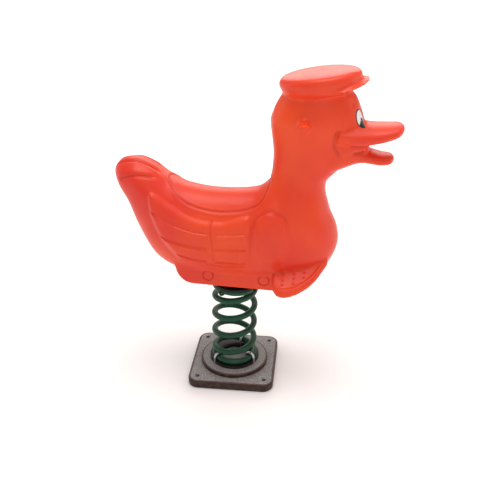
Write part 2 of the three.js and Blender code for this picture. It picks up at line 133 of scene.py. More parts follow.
def moved(piece, matrix):
    """Moves a finished piece by a matrix that is stated in millimetres."""
    piece.data.transform(Matrix.Scale(MM, 4) @ matrix @ Matrix.Scale(1 / MM, 4))


# %% A helper that seats a piece on its body
def seat_piece(piece, body, slot, *nodes):
    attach(piece, body)
    if nodes:
        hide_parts(*nodes)
    return piece


# %% [markdown]
# ## Materials
#
# A material starts from the Principled shader. Its colour and roughness vary a little with
# noise on the object's own coordinates, and a bump from finer noise gives the skin of the
# finish. The helpers below wire those three things, so that each finish only states its
# colours and its scales.

# %% Helpers that wire a material
def new_material(name, **constants):
    material = bpy.data.materials.new(name)
    material.use_nodes = True
    shader = material.node_tree.nodes["Principled BSDF"]
    for socket, value in constants.items():
        shader.inputs[socket.replace("_", " ")].default_value = value
    return material, material.node_tree, shader


def noise(tree, scale, detail=3, stretch=(1, 1, 1)):
    place = tree.nodes.new("ShaderNodeTexCoord")
    mapping = tree.nodes.new("ShaderNodeMapping")
    mapping.inputs["Scale"].default_value = stretch
    texture = tree.nodes.new("ShaderNodeTexNoise")
    texture.inputs["Scale"].default_value = scale
    texture.inputs["Detail"].default_value = detail
    tree.links.new(place.outputs["Object"], mapping.inputs["Vector"])
    tree.links.new(mapping.outputs["Vector"], texture.inputs["Vector"])
    return texture.outputs["Fac"]


def ramp(tree, value, stops):
    node = tree.nodes.new("ShaderNodeValToRGB")
    elements = node.color_ramp.elements
    for index, (position, color) in enumerate(stops):
        stop = elements[index] if index < 2 else elements.new(position)
        stop.position = position
        stop.color = (*color, 1)
    tree.links.new(value, node.inputs["Fac"])
    return node.outputs["Color"]


def spread(tree, value, low, high, start=0.0, end=1.0):
    node = tree.nodes.new("ShaderNodeMapRange")
    node.inputs["From Min"].default_value = start
    node.inputs["From Max"].default_value = end
    node.inputs["To Min"].default_value = low
    node.inputs["To Max"].default_value = high
    tree.links.new(value, node.inputs["Value"])
    return node.outputs["Result"]


def mixed(tree, share, first, second):
    node = tree.nodes.new("ShaderNodeMix")
    node.data_type = "RGBA"
    for socket, source in ((node.inputs[0], share), (node.inputs[6], first),
                           (node.inputs[7], second)):
        if isinstance(source, tuple):
            socket.default_value = (*source, 1)
        else:
            tree.links.new(source, socket)
    return node.outputs[2]


def bumped(tree, shader, layers):
    previous = None
    for height, strength, distance in layers:
        node = tree.nodes.new("ShaderNodeBump")
        node.inputs["Strength"].default_value = strength
        node.inputs["Distance"].default_value = distance * MM
        tree.links.new(height, node.inputs["Height"])
        if previous:
            tree.links.new(previous, node.inputs["Normal"])
        previous = node.outputs["Normal"]
    tree.links.new(previous, shader.inputs["Normal"])


def attribute(tree, name):
    node = tree.nodes.new("ShaderNodeAttribute")
    node.attribute_name = name
    return node.outputs["Fac"]


# %% [markdown]
# The duck is rotationally moulded polyethylene. The colour runs right through it and shifts a
# little where the wall is thicker, the skin has a fine orange peel from the mould, and light
# goes a few millimetres into it. The creases are darkened with painted shade, so the carved
# lines that are made later leave an attribute that says how much.

# %% The moulded plastic
# The carved creases are darkened towards CREASE_SHADE times the deep red: painted shade.
CREASE_SHADE = 0.5


def moulded_plastic(name, light, deep, roughness):
    material, tree, shader = new_material(
        name, Subsurface_Weight=0.04, Subsurface_Radius=(0.012, 0.004, 0.002),
        Subsurface_Scale=0.3, IOR=1.5, Specular_IOR_Level=0.34)
    clouds = ramp(tree, noise(tree, 5, 2), [(0.3, light), (0.7, deep)])
    crease_shaded = mixed(tree, attribute(tree, "shade_in_crease"), clouds, tuple(CREASE_SHADE * n for n in deep))
    tree.links.new(crease_shaded, shader.inputs["Base Color"])
    tree.links.new(spread(tree, noise(tree, 28, 4), roughness - 0.05, roughness + 0.06),
                   shader.inputs["Roughness"])
    bumped(tree, shader, [(noise(tree, 16, 2), 0.12, 1.2), (noise(tree, 520, 3), 0.09, 0.12)])
    return material


DUCK_RED = moulded_plastic("orange_red_polyethylene", (0.83, 0.068, 0.009), (0.72, 0.030, 0.014),
                           roughness=0.37)
print("material", DUCK_RED.name)

# %% [markdown]
# The spring is powder coated dark green. Powder melts into a glossy film with a soft ripple,
# and it rubs lighter where sand and shoes reach it.

# %% The spring's powder coat
def powder_coat():
    material, tree, shader = new_material(
        "green_powder_coat", IOR=1.5, Specular_IOR_Level=0.28)
    film = ramp(tree, noise(tree, 22, 4),
                [(0.32, (0.006, 0.048, 0.022)), (0.72, (0.010, 0.070, 0.034))])
    dust = ramp(tree, noise(tree, 180, 5), [(0.60, (0, 0, 0)), (0.74, (1, 1, 1))])
    dusty = tree.nodes.new("ShaderNodeMath")
    dusty.operation = "MULTIPLY"
    dusty.inputs[1].default_value = 0.12
    tree.links.new(dust, dusty.inputs[0])
    color = mixed(tree, dusty.outputs[0], film, (0.06, 0.13, 0.09))
    tree.links.new(color, shader.inputs["Base Color"])
    tree.links.new(spread(tree, noise(tree, 60, 4), 0.30, 0.46), shader.inputs["Roughness"])
    bumped(tree, shader, [(noise(tree, 420, 2), 0.16, 0.15)])
    return material


SPRING_GREEN = powder_coat()
print("material", SPRING_GREEN.name)

# %% [markdown]
# The base is cast iron under hammered grey paint. Hammered paint is mottled, with small cells
# of lighter and darker grey. Along the edges and down the sides the paint has gone and the
# metal is brown with rust. A wear attribute on the mesh says where: 0 on the flats, 1 on the
# edges and sides. The noise only frays its border. A second attribute paints a thin lighter
# brown line where the rounded edges begin, a painted highlight.

# %% The base's hammered and worn paint
def hammered_casting():
    material, tree, shader = new_material("hammered_cast_iron", IOR=1.5, Specular_IOR_Level=0.24)
    cells = tree.nodes.new("ShaderNodeTexVoronoi")
    cells.inputs["Scale"].default_value = 260
    place = tree.nodes.new("ShaderNodeTexCoord")
    tree.links.new(place.outputs["Object"], cells.inputs["Vector"])
    grey = ramp(tree, cells.outputs["Distance"],
                [(0.05, (0.33, 0.32, 0.315)), (0.45, (0.24, 0.232, 0.228)),
                 (0.8, (0.15, 0.146, 0.144))])
    speckled = ramp(tree, noise(tree, 240, 3),
                    [(0.38, (0.11, 0.106, 0.104)), (0.60, (0.38, 0.37, 0.364))])
    paint = mixed(tree, noise(tree, 9, 3), grey, speckled)
    rust = ramp(tree, noise(tree, 75, 6),
                [(0.30, (0.026, 0.013, 0.010)), (0.55, (0.048, 0.023, 0.017)),
                 (0.78, (0.085, 0.042, 0.031))])
    fray = tree.nodes.new("ShaderNodeMath")
    fray.operation = "MULTIPLY_ADD"
    fray.inputs[1].default_value = 0.35
    tree.links.new(noise(tree, 130, 5), fray.inputs[0])
    tree.links.new(attribute(tree, "wear"), fray.inputs[2])
    edge = ramp(tree, fray.outputs[0], [(0.48, (0, 0, 0)), (0.72, (1, 1, 1))])
    worn = mixed(tree, edge, paint, rust)
    # Painted highlight: a thin lighter brown line along the top of the rounded edges.
    edge_highlighted = mixed(tree, attribute(tree, "edge_highlight"), worn, (0.21, 0.135, 0.115))
    tree.links.new(edge_highlighted, shader.inputs["Base Color"])
    tree.links.new(spread(tree, noise(tree, 45, 4), 0.40, 0.62), shader.inputs["Roughness"])
    bumped(tree, shader, [(cells.outputs["Distance"], 0.35, 0.35), (noise(tree, 90, 5), 0.22, 0.5)])
    return material


CASTING = hammered_casting()
print("material", CASTING.name)

# %% [markdown]
# The clamps are zinc plated: bright, with a faint yellow-blue cloud and fine scratches along
# the rod. The plates and hooks over and under the spring are painted black.

# %% Zinc and black paint
def zinc_plate():
    material, tree, shader = new_material("zinc_plate", Metallic=1.0)
    cloud = ramp(tree, noise(tree, 40, 4),
                 [(0.3, (0.46, 0.47, 0.50)), (0.55, (0.60, 0.60, 0.62)), (0.8, (0.50, 0.49, 0.46))])
    tree.links.new(cloud, shader.inputs["Base Color"])
    tree.links.new(spread(tree, noise(tree, 210, 5), 0.22, 0.44), shader.inputs["Roughness"])
    bumped(tree, shader, [(noise(tree, 340, 2, (1, 1, 0.1)), 0.12, 0.1)])
    return material


def black_paint():
    material, tree, shader = new_material("black_painted_steel", IOR=1.5, Specular_IOR_Level=0.22)
    film = ramp(tree, noise(tree, 30, 5),
                [(0.35, (0.006, 0.006, 0.006)), (0.62, (0.012, 0.010, 0.009)),
                 (0.8, (0.026, 0.016, 0.012))])
    tree.links.new(film, shader.inputs["Base Color"])
    tree.links.new(spread(tree, noise(tree, 110, 4), 0.34, 0.6), shader.inputs["Roughness"])
    bumped(tree, shader, [(noise(tree, 300, 3), 0.2, 0.15)])
    return material


ZINC = zinc_plate()
BLACK_STEEL = black_paint()
print("materials", ZINC.name, BLACK_STEEL.name)

# %% The enamel of the eyes
def enamel(name, color, shade):
    material, tree, shader = new_material(name, Coat_Weight=0.4, Coat_Roughness=0.08, IOR=1.5)
    cloud = ramp(tree, noise(tree, 70, 3), [(0.3, color), (0.8, shade)])
    tree.links.new(cloud, shader.inputs["Base Color"])
    tree.links.new(spread(tree, noise(tree, 120, 3), 0.16, 0.28), shader.inputs["Roughness"])
    bumped(tree, shader, [(noise(tree, 300, 2), 0.05, 0.1)])
    return material


EYE_WHITE = enamel("white_enamel", (0.80, 0.80, 0.79), (0.74, 0.74, 0.74))
EYE_BLACK = enamel("black_enamel", (0.008, 0.008, 0.009), (0.016, 0.015, 0.015))
print("materials", EYE_WHITE.name, EYE_BLACK.name)

# %% [markdown]
# ## The spring
#
# A rocker spring is one bar wound into a helix, with its two ends pressed flat against the
# plates. In Blender the natural tool is Spin: a circle is turned about the spring's axis one
# short step at a time. Each ring of the wire is then lifted to its height and leant forward
# by its share of the spring's bend, because the duck sits a little nose down. The wire is made
# in six pieces that meet in mid-turn.

# %% The spring's dimensions, as the CAD has them
WIRE_RADIUS = 10
COIL_RADIUS = 65
FOOT_LEVEL = 59.9
RISE = 268
RISE_START, RISE_END = 0.42, 4.47
CORNER_EASE = 0.03
SIT = math.radians(2.5)
SIT_PIVOT = FOOT_LEVEL + RISE / 2
RINGS_PER_TURN = 60


def climbed(turn):
    share = (turn - RISE_START) / (RISE_END - RISE_START)
    ease = CORNER_EASE ** 2
    return (math.sqrt(share ** 2 + ease) - math.sqrt((share - 1) ** 2 + ease) + 1) / 2


def coil_place(turn):
    """Where a ring that was spun flat belongs on the leaning spring."""
    lean = SIT * climbed(turn)
    bend = RISE / SIT
    lift = Vector((bend * (1 - math.cos(lean)), 0, FOOT_LEVEL + bend * math.sin(lean)))
    return Matrix.Translation(lift) @ Matrix.Rotation(lean, 4, "Y")


print("free height between the flat turns", RISE, "mm")

# %% Spin one stretch of the wire
def wire_stretch(first, last):
    shape = bmesh.new()
    bearing = 2 * math.pi * first - math.pi / 2
    upright = (Matrix.Rotation(bearing, 4, "Z") @ Matrix.Translation((COIL_RADIUS, 0, 0))
               @ Matrix.Rotation(math.pi / 2, 4, "X"))
    circle = bmesh.ops.create_circle(shape, segments=24, radius=WIRE_RADIUS, matrix=upright)
    ring = circle["verts"]
    edges = list({edge for vert in ring for edge in vert.link_edges})
    steps = round((last - first) * RINGS_PER_TURN)
    step = (last - first) / steps
    rings = [ring]
    newest = ring + edges
    for _ in range(steps):
        turned = bmesh.ops.spin(shape, geom=newest, cent=(0, 0, 0), axis=(0, 0, 1),
                                angle=2 * math.pi * step, steps=1)
        newest = turned["geom_last"]
        rings.append(verts_in(newest))
    for end in (rings[0], rings[-1]):
        bmesh.ops.contextual_create(shape, geom=end)
    for index, ring in enumerate(rings):
        bmesh.ops.transform(shape, matrix=coil_place(first + index * step), verts=ring)
    heights = [[vert.co.z for vert in rings[k]] for k in (0, -1)]
    return shape, max(heights[0]), min(heights[1])


def round_off(shape, level_side, width=3):
    """Rounds the free end of the wire, the end cap on the given side."""
    caps = sorted((face for face in shape.faces if len(face.verts) > 4),
                  key=lambda face: face.calc_center_median().z)
    cap = caps[0] if level_side == "foot" else caps[-1]
    bevelled(shape, list(cap.edges), width, 3)


# %% Make the six pieces of the spring
WIRE_START, WIRE_END = -0.235, 5.16
MEETINGS = [WIRE_START, 0.975, 1.725, 2.475, 3.225, 3.975, WIRE_END]
STANDS_FOR = [["spring_foot_coil"], ["spring_turn_1"], ["spring_turn_2"], ["spring_turn_3"],
              ["spring_turn_4"], ["spring_turn_5", "spring_head_coil"]]
FOOT_BLEND_START = 72

for index, nodes in enumerate(STANDS_FOR):
    shape, start, end = wire_stretch(MEETINGS[index], MEETINGS[index + 1])
    if index == 0:
        round_off(shape, "foot")
        start = FOOT_BLEND_START
    if index == 5:
        round_off(shape, "head")
        end = start + 9
    wire = finished(shape, f"spring_wire_{index + 1}", SPRING_GREEN, crisp=50)
    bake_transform(wire)
    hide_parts(*nodes)
    print(f"bends from {start:.0f} to {end:.0f} mm")

# %% [markdown]
# ## Turned parts
#
# The disc under the spring, the black ring that the bottom turn sits in, the plate over the
# spring, the hand grips and the keel's plugs are all round. Each is a profile of a few points
# spun once about its axis. Corners are rounded with Bevel after the spin.

# %% Spin a profile into a closed ring or disc
def turned_part(profile, sides=64, rounds=()):
    """profile is a list of (radius, height); rounds are (radius, height, size) of its edges."""
    shape = bmesh.new()
    points = [shape.verts.new((radius, 0, height)) for radius, height in profile]
    edges = [shape.edges.new(pair) for pair in zip(points, points[1:])]
    if profile[0][0] > 0 and profile[-1][0] > 0:
        edges.append(shape.edges.new((points[-1], points[0])))
    bmesh.ops.spin(shape, geom=points + edges, cent=(0, 0, 0), axis=(0, 0, 1),
                   angle=2 * math.pi, steps=sides, use_merge=True)
    bmesh.ops.remove_doubles(shape, verts=shape.verts, dist=0.01)
    bmesh.ops.recalc_face_normals(shape, faces=shape.faces)
    for radius, height, size in rounds:
        rim = [edge for edge in shape.edges
               if all(abs(vert.co.z - height) < 0.01 and
                      abs(math.hypot(vert.co.x, vert.co.y) - radius) < 0.2
                      for vert in edge.verts)]
        bevelled(shape, rim, size, 4)
    return shape


def place(shape, *matrices):
    for matrix in matrices:
        bmesh.ops.transform(shape, matrix=matrix, verts=shape.verts)
    return shape


def drilled(piece, drills):
    """Cuts round holes with a Boolean modifier. A drill is (x, y, bottom, top, radius) in mm."""
    bits = bmesh.new()
    for x, y, bottom, top, radius in drills:
        middle = Matrix.Translation((x, y, (bottom + top) / 2))
        bmesh.ops.create_cone(bits, cap_ends=True, segments=28, radius1=radius, radius2=radius,
                              depth=top - bottom, matrix=middle)
    return carved_out(piece, bits)


def carved_out(piece, tool_shape):
    tool = finished(tool_shape, piece.name + "_tool", piece.data.materials[0])
    cut = piece.modifiers.new("cut", "BOOLEAN")
    cut.operation = "DIFFERENCE"
    cut.solver = "EXACT"
    cut.object = tool
    depsgraph = bpy.context.evaluated_depsgraph_get()
    mesh = bpy.data.meshes.new_from_object(piece.evaluated_get(depsgraph))
    piece.modifiers.clear()
    piece.data = mesh
    bpy.data.objects.remove(tool)
    return piece


# %% [markdown]
# ## The base
#
# The base plate is a square casting with round corners, softened edges and four anchor holes.
# It starts as a cube: the four upright edges are bevelled by the corner radius, then the top
# and bottom outlines by the edge radius. Underneath it is hollowed between a centre boss, the
# outer wall and three ribs, where the clamps' nuts sit. A wear attribute marks the edges.

# %% Mark where the paint is worn and where the edge highlight is painted
def mark_wear_and_highlight(piece, wear_of, highlight_of=None):
    """Stores how worn the paint is at each vertex, from 0 to 1, and where the painted edge highlight
    runs, for the casting's material.
    """
    for name, rule in (("wear", wear_of), ("edge_highlight", highlight_of)):
        layer = piece.data.attributes.new(name, "FLOAT", "POINT")
        if rule:
            values = [rule(vert.co / MM) for vert in piece.data.vertices]
            layer.data.foreach_set("value", values)
    return piece


# %% The base plate
PLATE_SIDE, PLATE_CORNER, PLATE_THICK, PLATE_EDGE = 280, 34, 28, 5
ANCHOR = 110
ANCHOR_RADIUS = 7
POCKET_INNER, POCKET_OUTER, POCKET_DEPTH, RIB = 34, 96, 16, 10
RIB_BEARINGS = [21, 147, 276]
CLAMP_BEARINGS = [222, 330, 72]
CLAMP_HALF = 14.6
ROD_RADIUS = 4
WEAR_BAND = 2.5

plate = bmesh.new()
bmesh.ops.create_cube(plate, size=1, matrix=Matrix.Translation((0, 0, PLATE_THICK / 2))
                      @ Matrix.Diagonal((PLATE_SIDE, PLATE_SIDE, PLATE_THICK, 1)))
upright = [edge for edge in plate.edges if abs((edge.verts[0].co - edge.verts[1].co).z) > 1]
bevelled(plate, upright, PLATE_CORNER, 10)
rims = [edge for edge in plate.edges
        if abs((edge.verts[0].co - edge.verts[1].co).z) < 0.1 and
        any(abs(face.normal.z) > 0.9 for face in edge.link_faces)]
bevelled(plate, rims, PLATE_EDGE, 5)
top_face = max(plate.faces, key=lambda face: face.calc_center_median().z)
bmesh.ops.inset_region(plate, faces=[top_face], thickness=WEAR_BAND, use_even_offset=True)
base_plate = finished(plate, "base_casting", CASTING, crisp=40)

# %% Drill it and hollow it underneath
pockets = bmesh.new()
for first, second in zip(RIB_BEARINGS, RIB_BEARINGS[1:] + [RIB_BEARINGS[0] + 360]):
    half_rib = math.degrees(RIB / 2 / ((POCKET_INNER + POCKET_OUTER) / 2))
    begin = math.radians(first + half_rib)
    sweep = math.radians(second - first - 2 * half_rib)
    corners = [(POCKET_INNER, -1), (POCKET_OUTER, -1), (POCKET_OUTER, POCKET_DEPTH),
               (POCKET_INNER, POCKET_DEPTH)]
    section = [pockets.verts.new((radius, 0, height)) for radius, height in corners]
    face = pockets.faces.new(section)
    bmesh.ops.rotate(pockets, verts=section, cent=(0, 0, 0), matrix=Matrix.Rotation(begin, 3, "Z"))
    bmesh.ops.spin(pockets, geom=[face, *face.edges, *section], cent=(0, 0, 0), axis=(0, 0, 1),
                   angle=sweep, steps=24)
carved_out(base_plate, pockets)

clamp_holes = [((COIL_RADIUS + side) * math.cos(math.radians(bearing)),
                (COIL_RADIUS + side) * math.sin(math.radians(bearing)))
               for bearing in CLAMP_BEARINGS for side in (-CLAMP_HALF, CLAMP_HALF)]
anchors = [(x, y, -1, PLATE_THICK + 1, ANCHOR_RADIUS)
           for x in (-ANCHOR, ANCHOR) for y in (-ANCHOR, ANCHOR)]
drilled(base_plate, anchors + [(x, y, 0, PLATE_THICK + 1, ROD_RADIUS + 0.8) for x, y in clamp_holes])


def plate_wear(point):
    flat = PLATE_SIDE / 2 - PLATE_CORNER
    over = Vector((max(abs(point.x) - flat, 0), max(abs(point.y) - flat, 0)))
    inside = PLATE_CORNER - over.length
    return min(max((PLATE_EDGE + WEAR_BAND - inside) / WEAR_BAND, 0), 1)


def plate_edge_highlight(point):
    """A thin painted highlight along the line where the rounded edge begins."""
    return 0.75 if plate_wear(point) > 0.5 and PLATE_THICK - 0.8 < point.z < PLATE_THICK - 0.02 else 0


mark_wear_and_highlight(base_plate, plate_wear, plate_edge_highlight)
base_plate.data.shade_smooth()
base_plate.data.set_sharp_from_angle(angle=math.radians(40))
seat_piece(base_plate, "base", "casting", "base_plate")

# %% [markdown]
# The spring disc stands on the plate and the black seat ring on the disc. Both are spun. The
# disc's upper edge is well rounded and worn brown.

# %% The spring disc and the seat ring
GAP = 0.3
DISC_RADIUS, DISC_THICK = 112, 13
RING_INNER, RING_OUTER, RING_THICK = 42, 82, 8
disc_bottom = PLATE_THICK + GAP
disc_top = disc_bottom + DISC_THICK
ring_bottom = disc_top + GAP

DISC_EDGE = 4
disc = turned_part([(0, disc_bottom), (DISC_RADIUS, disc_bottom), (DISC_RADIUS, disc_top),
                    (DISC_RADIUS - DISC_EDGE - WEAR_BAND, disc_top), (0, disc_top)], sides=96,
                   rounds=[(DISC_RADIUS, disc_top, DISC_EDGE), (DISC_RADIUS, disc_bottom, 1.5)])
spring_disc = finished(disc, "spring_disc_casting", CASTING, crisp=40)
drilled(spring_disc, [(x, y, disc_bottom - 1, disc_top + 1, ROD_RADIUS + 0.8) for x, y in clamp_holes])


def disc_wear(point):
    inside = DISC_RADIUS - math.hypot(point.x, point.y)
    return min(max((DISC_EDGE + WEAR_BAND - inside) / WEAR_BAND, 0), 1)


# The same painted highlight along the top of the disc's rounded edge.
def disc_edge_highlight(point):
    return 0.75 if disc_wear(point) > 0.5 and disc_top - 0.7 < point.z < disc_top - 0.02 else 0


mark_wear_and_highlight(spring_disc, disc_wear, disc_edge_highlight)
spring_disc.data.shade_smooth()
spring_disc.data.set_sharp_from_angle(angle=math.radians(40))
seat_piece(spring_disc, "base", "casting", "spring_disc")

ring_top = ring_bottom + RING_THICK
ring = turned_part([(RING_INNER, ring_bottom), (RING_OUTER, ring_bottom), (RING_OUTER, ring_top),
                    (RING_INNER, ring_top)], sides=96,
                   rounds=[(RING_OUTER, ring_top, 2), (RING_INNER, ring_top, 1)])
seat_ring = finished(ring, "black_seat_ring", BLACK_STEEL, crisp=40)
drilled(seat_ring, [(x, y, ring_bottom - 1, ring_top + 1, ROD_RADIUS + 0.8) for x, y in clamp_holes])
seat_ring.data.set_sharp_from_angle(angle=math.radians(40))
seat_piece(seat_ring, "base", "black_steel", "seat_ring")

# %% [markdown]
# ## Clamps
#
# Three U-bolts hold the bottom turn down and three hook bolts hang the top plate on the top
# turn. A bent rod is one circle spun half round, with its two ends extruded for the legs.

# %% Bend a rod
def bent_rod(inner_leg, outer_leg, radius=ROD_RADIUS):
    """A rod over the wire: legs point down at x = -CLAMP_HALF and x = +CLAMP_HALF."""
    shape = bmesh.new()
    at_leg = Matrix.Translation((CLAMP_HALF, 0, 0))
    circle = bmesh.ops.create_circle(shape, segments=20, radius=radius, matrix=at_leg)["verts"]
    edges = list({edge for vert in circle for edge in vert.link_edges})
    bend = bmesh.ops.spin(shape, geom=circle + edges, cent=(0, 0, 0), axis=(0, -1, 0),
                          angle=math.pi, steps=20)
    last = bend["geom_last"]
    inner_ring = verts_in(last)
    legs = []
    for ring, leg in ((circle, outer_leg), (inner_ring, inner_leg)):
        rim = [edge for edge in {e for v in ring for e in v.link_edges}
               if all(vert in ring for vert in edge.verts)]
        drawn = bmesh.ops.extrude_edge_only(shape, edges=rim)["geom"]
        tip = verts_in(drawn)
        bmesh.ops.translate(shape, verts=tip, vec=(0, 0, -leg))
        legs.append(tip)
    for tip in legs:
        cap = bmesh.ops.contextual_create(shape, geom=tip)["faces"]
        bevelled(shape, list(cap[0].edges), 0.8, 2)
    return shape


def on_bearing(bearing, radius, height):
    turn = Matrix.Rotation(math.radians(bearing), 4, "Z")
    return Matrix.Translation((0, 0, height)) @ turn @ Matrix.Translation((radius, 0, 0))


def wire_height(bearing, turns):
    turn = turns + (bearing + 90) / 360
    lean = SIT * climbed(turn)
    across = COIL_RADIUS * math.cos(math.radians(bearing))
    return FOOT_LEVEL + RISE / SIT * math.sin(lean) - across * math.sin(lean)


# %% A hexagon nut
def hexagon_nut(flats, height, bore):
    shape = bmesh.new()
    hexagon = bmesh.ops.create_circle(shape, cap_ends=True, segments=6, radius=flats / math.sqrt(3))
    face = hexagon["verts"][0].link_faces[0]
    raised = bmesh.ops.extrude_face_region(shape, geom=[face])["geom"]
    top = verts_in(raised)
    bmesh.ops.translate(shape, verts=top, vec=(0, 0, height))
    bevelled(shape, list(shape.edges), 0.5, 2)
    return shape, (0, 0, -1, height + 1, bore)


# %% The three U-bolts on the bottom turn, with their nuts under the plate
NUT_FLATS, NUT_HEIGHT = 13, 6.5
nut_level = POCKET_DEPTH - GAP - NUT_HEIGHT
for number, bearing in enumerate(CLAMP_BEARINGS):
    height = wire_height(bearing, -1 if bearing > 180 else 0)
    leg = height - nut_level + 3
    rod = place(bent_rod(leg, leg), on_bearing(bearing, COIL_RADIUS, height))
    clamp = finished(rod, f"base_clamp_{number + 1}", ZINC)
    seat_piece(clamp, "base", "zinc", f"base_u_bolt_{number + 1}")
    for side, offset in enumerate((-CLAMP_HALF, CLAMP_HALF)):
        nut_shape, bore = hexagon_nut(NUT_FLATS, NUT_HEIGHT, ROD_RADIUS + GAP)
        nut = drilled(finished(nut_shape, f"clamp_nut_{2 * number + side + 1}", ZINC), [bore])
        moved(nut, on_bearing(bearing, COIL_RADIUS + offset, nut_level))
        seat_piece(nut, "base", "zinc", f"base_nut_{2 * number + side + 1}")

# %% [markdown]
# ## What holds the duck
#
# The top plate and its hub carry a channel inside the keel. These parts lean with the duck, so
# they are drawn level and turned about the middle of the spring.

# %% The lean of everything above the spring
LEAN = (Matrix.Translation((0, 0, SIT_PIVOT)) @ Matrix.Rotation(SIT, 4, "Y")
        @ Matrix.Translation((0, 0, -SIT_PIVOT)))
HEAD_LEVEL = FOOT_LEVEL + RISE
TOP_PLATE_RADIUS, TOP_PLATE_THICK, HUB_RADIUS = 78, 6, 40
KEEL_FLOOR = 353
WALL = 6
top_plate_bottom = HEAD_LEVEL + WIRE_RADIUS + GAP
hub_top = KEEL_FLOOR + WALL
plate_face = top_plate_bottom + TOP_PLATE_THICK

top_plate = turned_part([(0, top_plate_bottom), (TOP_PLATE_RADIUS, top_plate_bottom),
                         (TOP_PLATE_RADIUS, plate_face), (HUB_RADIUS, plate_face),
                         (HUB_RADIUS, hub_top), (0, hub_top)], sides=96,
                        rounds=[(TOP_PLATE_RADIUS, top_plate_bottom, 1.5),
                                (TOP_PLATE_RADIUS, plate_face, 1.5)])
spring_cap = finished(top_plate, "spring_top_flange", BLACK_STEEL, crisp=40)
HOOK_BEARINGS = [240, 170, 100]
hook_holes = [((COIL_RADIUS - CLAMP_HALF) * math.cos(math.radians(bearing)),
               (COIL_RADIUS - CLAMP_HALF) * math.sin(math.radians(bearing)))
              for bearing in HOOK_BEARINGS]
drilled(spring_cap, [(x, y, top_plate_bottom - 1, plate_face + 1, ROD_RADIUS + 0.8)
                     for x, y in hook_holes])
moved(spring_cap, LEAN)
spring_cap.data.set_sharp_from_angle(angle=math.radians(40))
seat_piece(spring_cap, "rider", "black_steel", "spring_top_plate")

# %% The three hook bolts under the top turn
top_nut_level = plate_face + GAP
for number, bearing in enumerate(HOOK_BEARINGS):
    height = FOOT_LEVEL + RISE * climbed(4 + (bearing + 90) / 360)
    leg = top_nut_level + NUT_HEIGHT + 0.8 - height
    upside_down = Matrix.Rotation(math.pi, 4, "X")
    rod = place(bent_rod(leg, 1), upside_down, on_bearing(bearing, COIL_RADIUS, height), LEAN)
    hook = finished(rod, f"top_hook_{number + 1}", BLACK_STEEL)
    seat_piece(hook, "rider", "black_steel", f"top_hook_bolt_{number + 1}")
    nut_shape, bore = hexagon_nut(NUT_FLATS, NUT_HEIGHT, ROD_RADIUS + GAP)
    nut = drilled(finished(nut_shape, f"hook_nut_{number + 1}", ZINC), [bore])
    spot = LEAN @ on_bearing(bearing, COIL_RADIUS - CLAMP_HALF, top_nut_level)
    moved(nut, spot)
    seat_piece(nut, "rider", "zinc", f"top_nut_{number + 1}")

# %% [markdown]
# The channel, its screws and the keel's cross bolts are sealed inside the moulding. Their CAD
# shapes are right as they are, so they stay and only get a finish.

# %% Dress the CAD nodes that stay
def dress(name, material):
    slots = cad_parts[name].data.materials
    slots.clear()
    slots.append(material)
    print("dressed", name)


dress("carrier_channel", BLACK_STEEL)
for end in ("rear", "front"):
    dress(f"keel_bolt_{end}", ZINC)
    dress(f"keel_nut_{end}", ZINC)
for number in (1, 2, 3):
    dress(f"hub_screw_{number}", ZINC)
dress("handle_bar", ZINC)

# %% [markdown]
# ## The duck
#
# A rotational moulding is one smooth skin with soft changes of form. It is built the way a
# pattern maker would: simple rounded bodies for the hull, neck, beak, cap, keel and footrests
# are put together roughly, fused into one skin with a voxel remesh, and smoothed so that they
# flow into each other. The fine lines are carved afterwards, when the skin is even.
#
# Each rounded body is a sphere drawn through a table of sections. A row of the table gives the
# station, then the section's limits there. Between rows the numbers follow a smooth curve.

# %% Read a table of sections at any station
def row_at(table, station):
    index = 0
    while index < len(table) - 2 and table[index + 1][0] <= station:
        index += 1
    here, there = table[index], table[index + 1]
    before = table[max(index - 1, 0)]
    after = table[min(index + 2, len(table) - 1)]
    span = there[0] - here[0]
    t = (station - here[0]) / span
    row = []
    for a, b, p, n in zip(here, there, before, after):
        slope_a = (b - p) / (there[0] - before[0])
        slope_b = (n - a) / (after[0] - here[0])
        curve = (2 * t ** 3 - 3 * t ** 2 + 1) * a + (3 * t ** 2 - 2 * t ** 3) * b
        ends = (t ** 3 - 2 * t ** 2 + t) * slope_a + (t ** 3 - t ** 2) * slope_b
        row.append(curve + span * ends)
    return row


# %% Draw a sphere through the sections
def squarer(value, power=0.92):
    return math.copysign(abs(value) ** power, value)


def lengthwise(station, row, across, up, full):
    """A section across X: lowest, widest level, highest, half width."""
    _, low, middle, high, half = row
    height = high - middle if up > 0 else middle - low
    return (station, squarer(across) * half * full, middle + squarer(up) * height * full)


def upwards(station, row, across, up, full):
    """A section across Z: back, front, half width."""
    _, rear, front, half = row
    reach = (front - rear) / 2
    return ((rear + front) / 2 + across * reach * full, up * half * full, station)


def rounded_body(table, section, end_round, around=72, along=72):
    shape = bmesh.new()
    bmesh.ops.create_uvsphere(shape, u_segments=around, v_segments=along, radius=1)
    first, last = table[0][0], table[-1][0]
    for vert in shape.verts:
        station = first + (last - first) * (0.5 + 0.5 * max(-1, min(1, vert.co.z)))
        short = max(0, end_round - min(station - first, last - station))
        full = math.sqrt(max(0, 1 - (short / end_round) ** 2))
        flat = math.hypot(vert.co.x, vert.co.y)
        across, up = (vert.co.x / flat, vert.co.y / flat) if flat > 1e-6 else (0, 0)
        vert.co = section(station, row_at(table, station), across, up, full)
    return shape


# %% [markdown]
# The hull is drawn lengthwise, from the turned-up tail to the breast. The neck and head are
# drawn upwards through it. The beak is two lengthwise bodies with the cheeks between them.

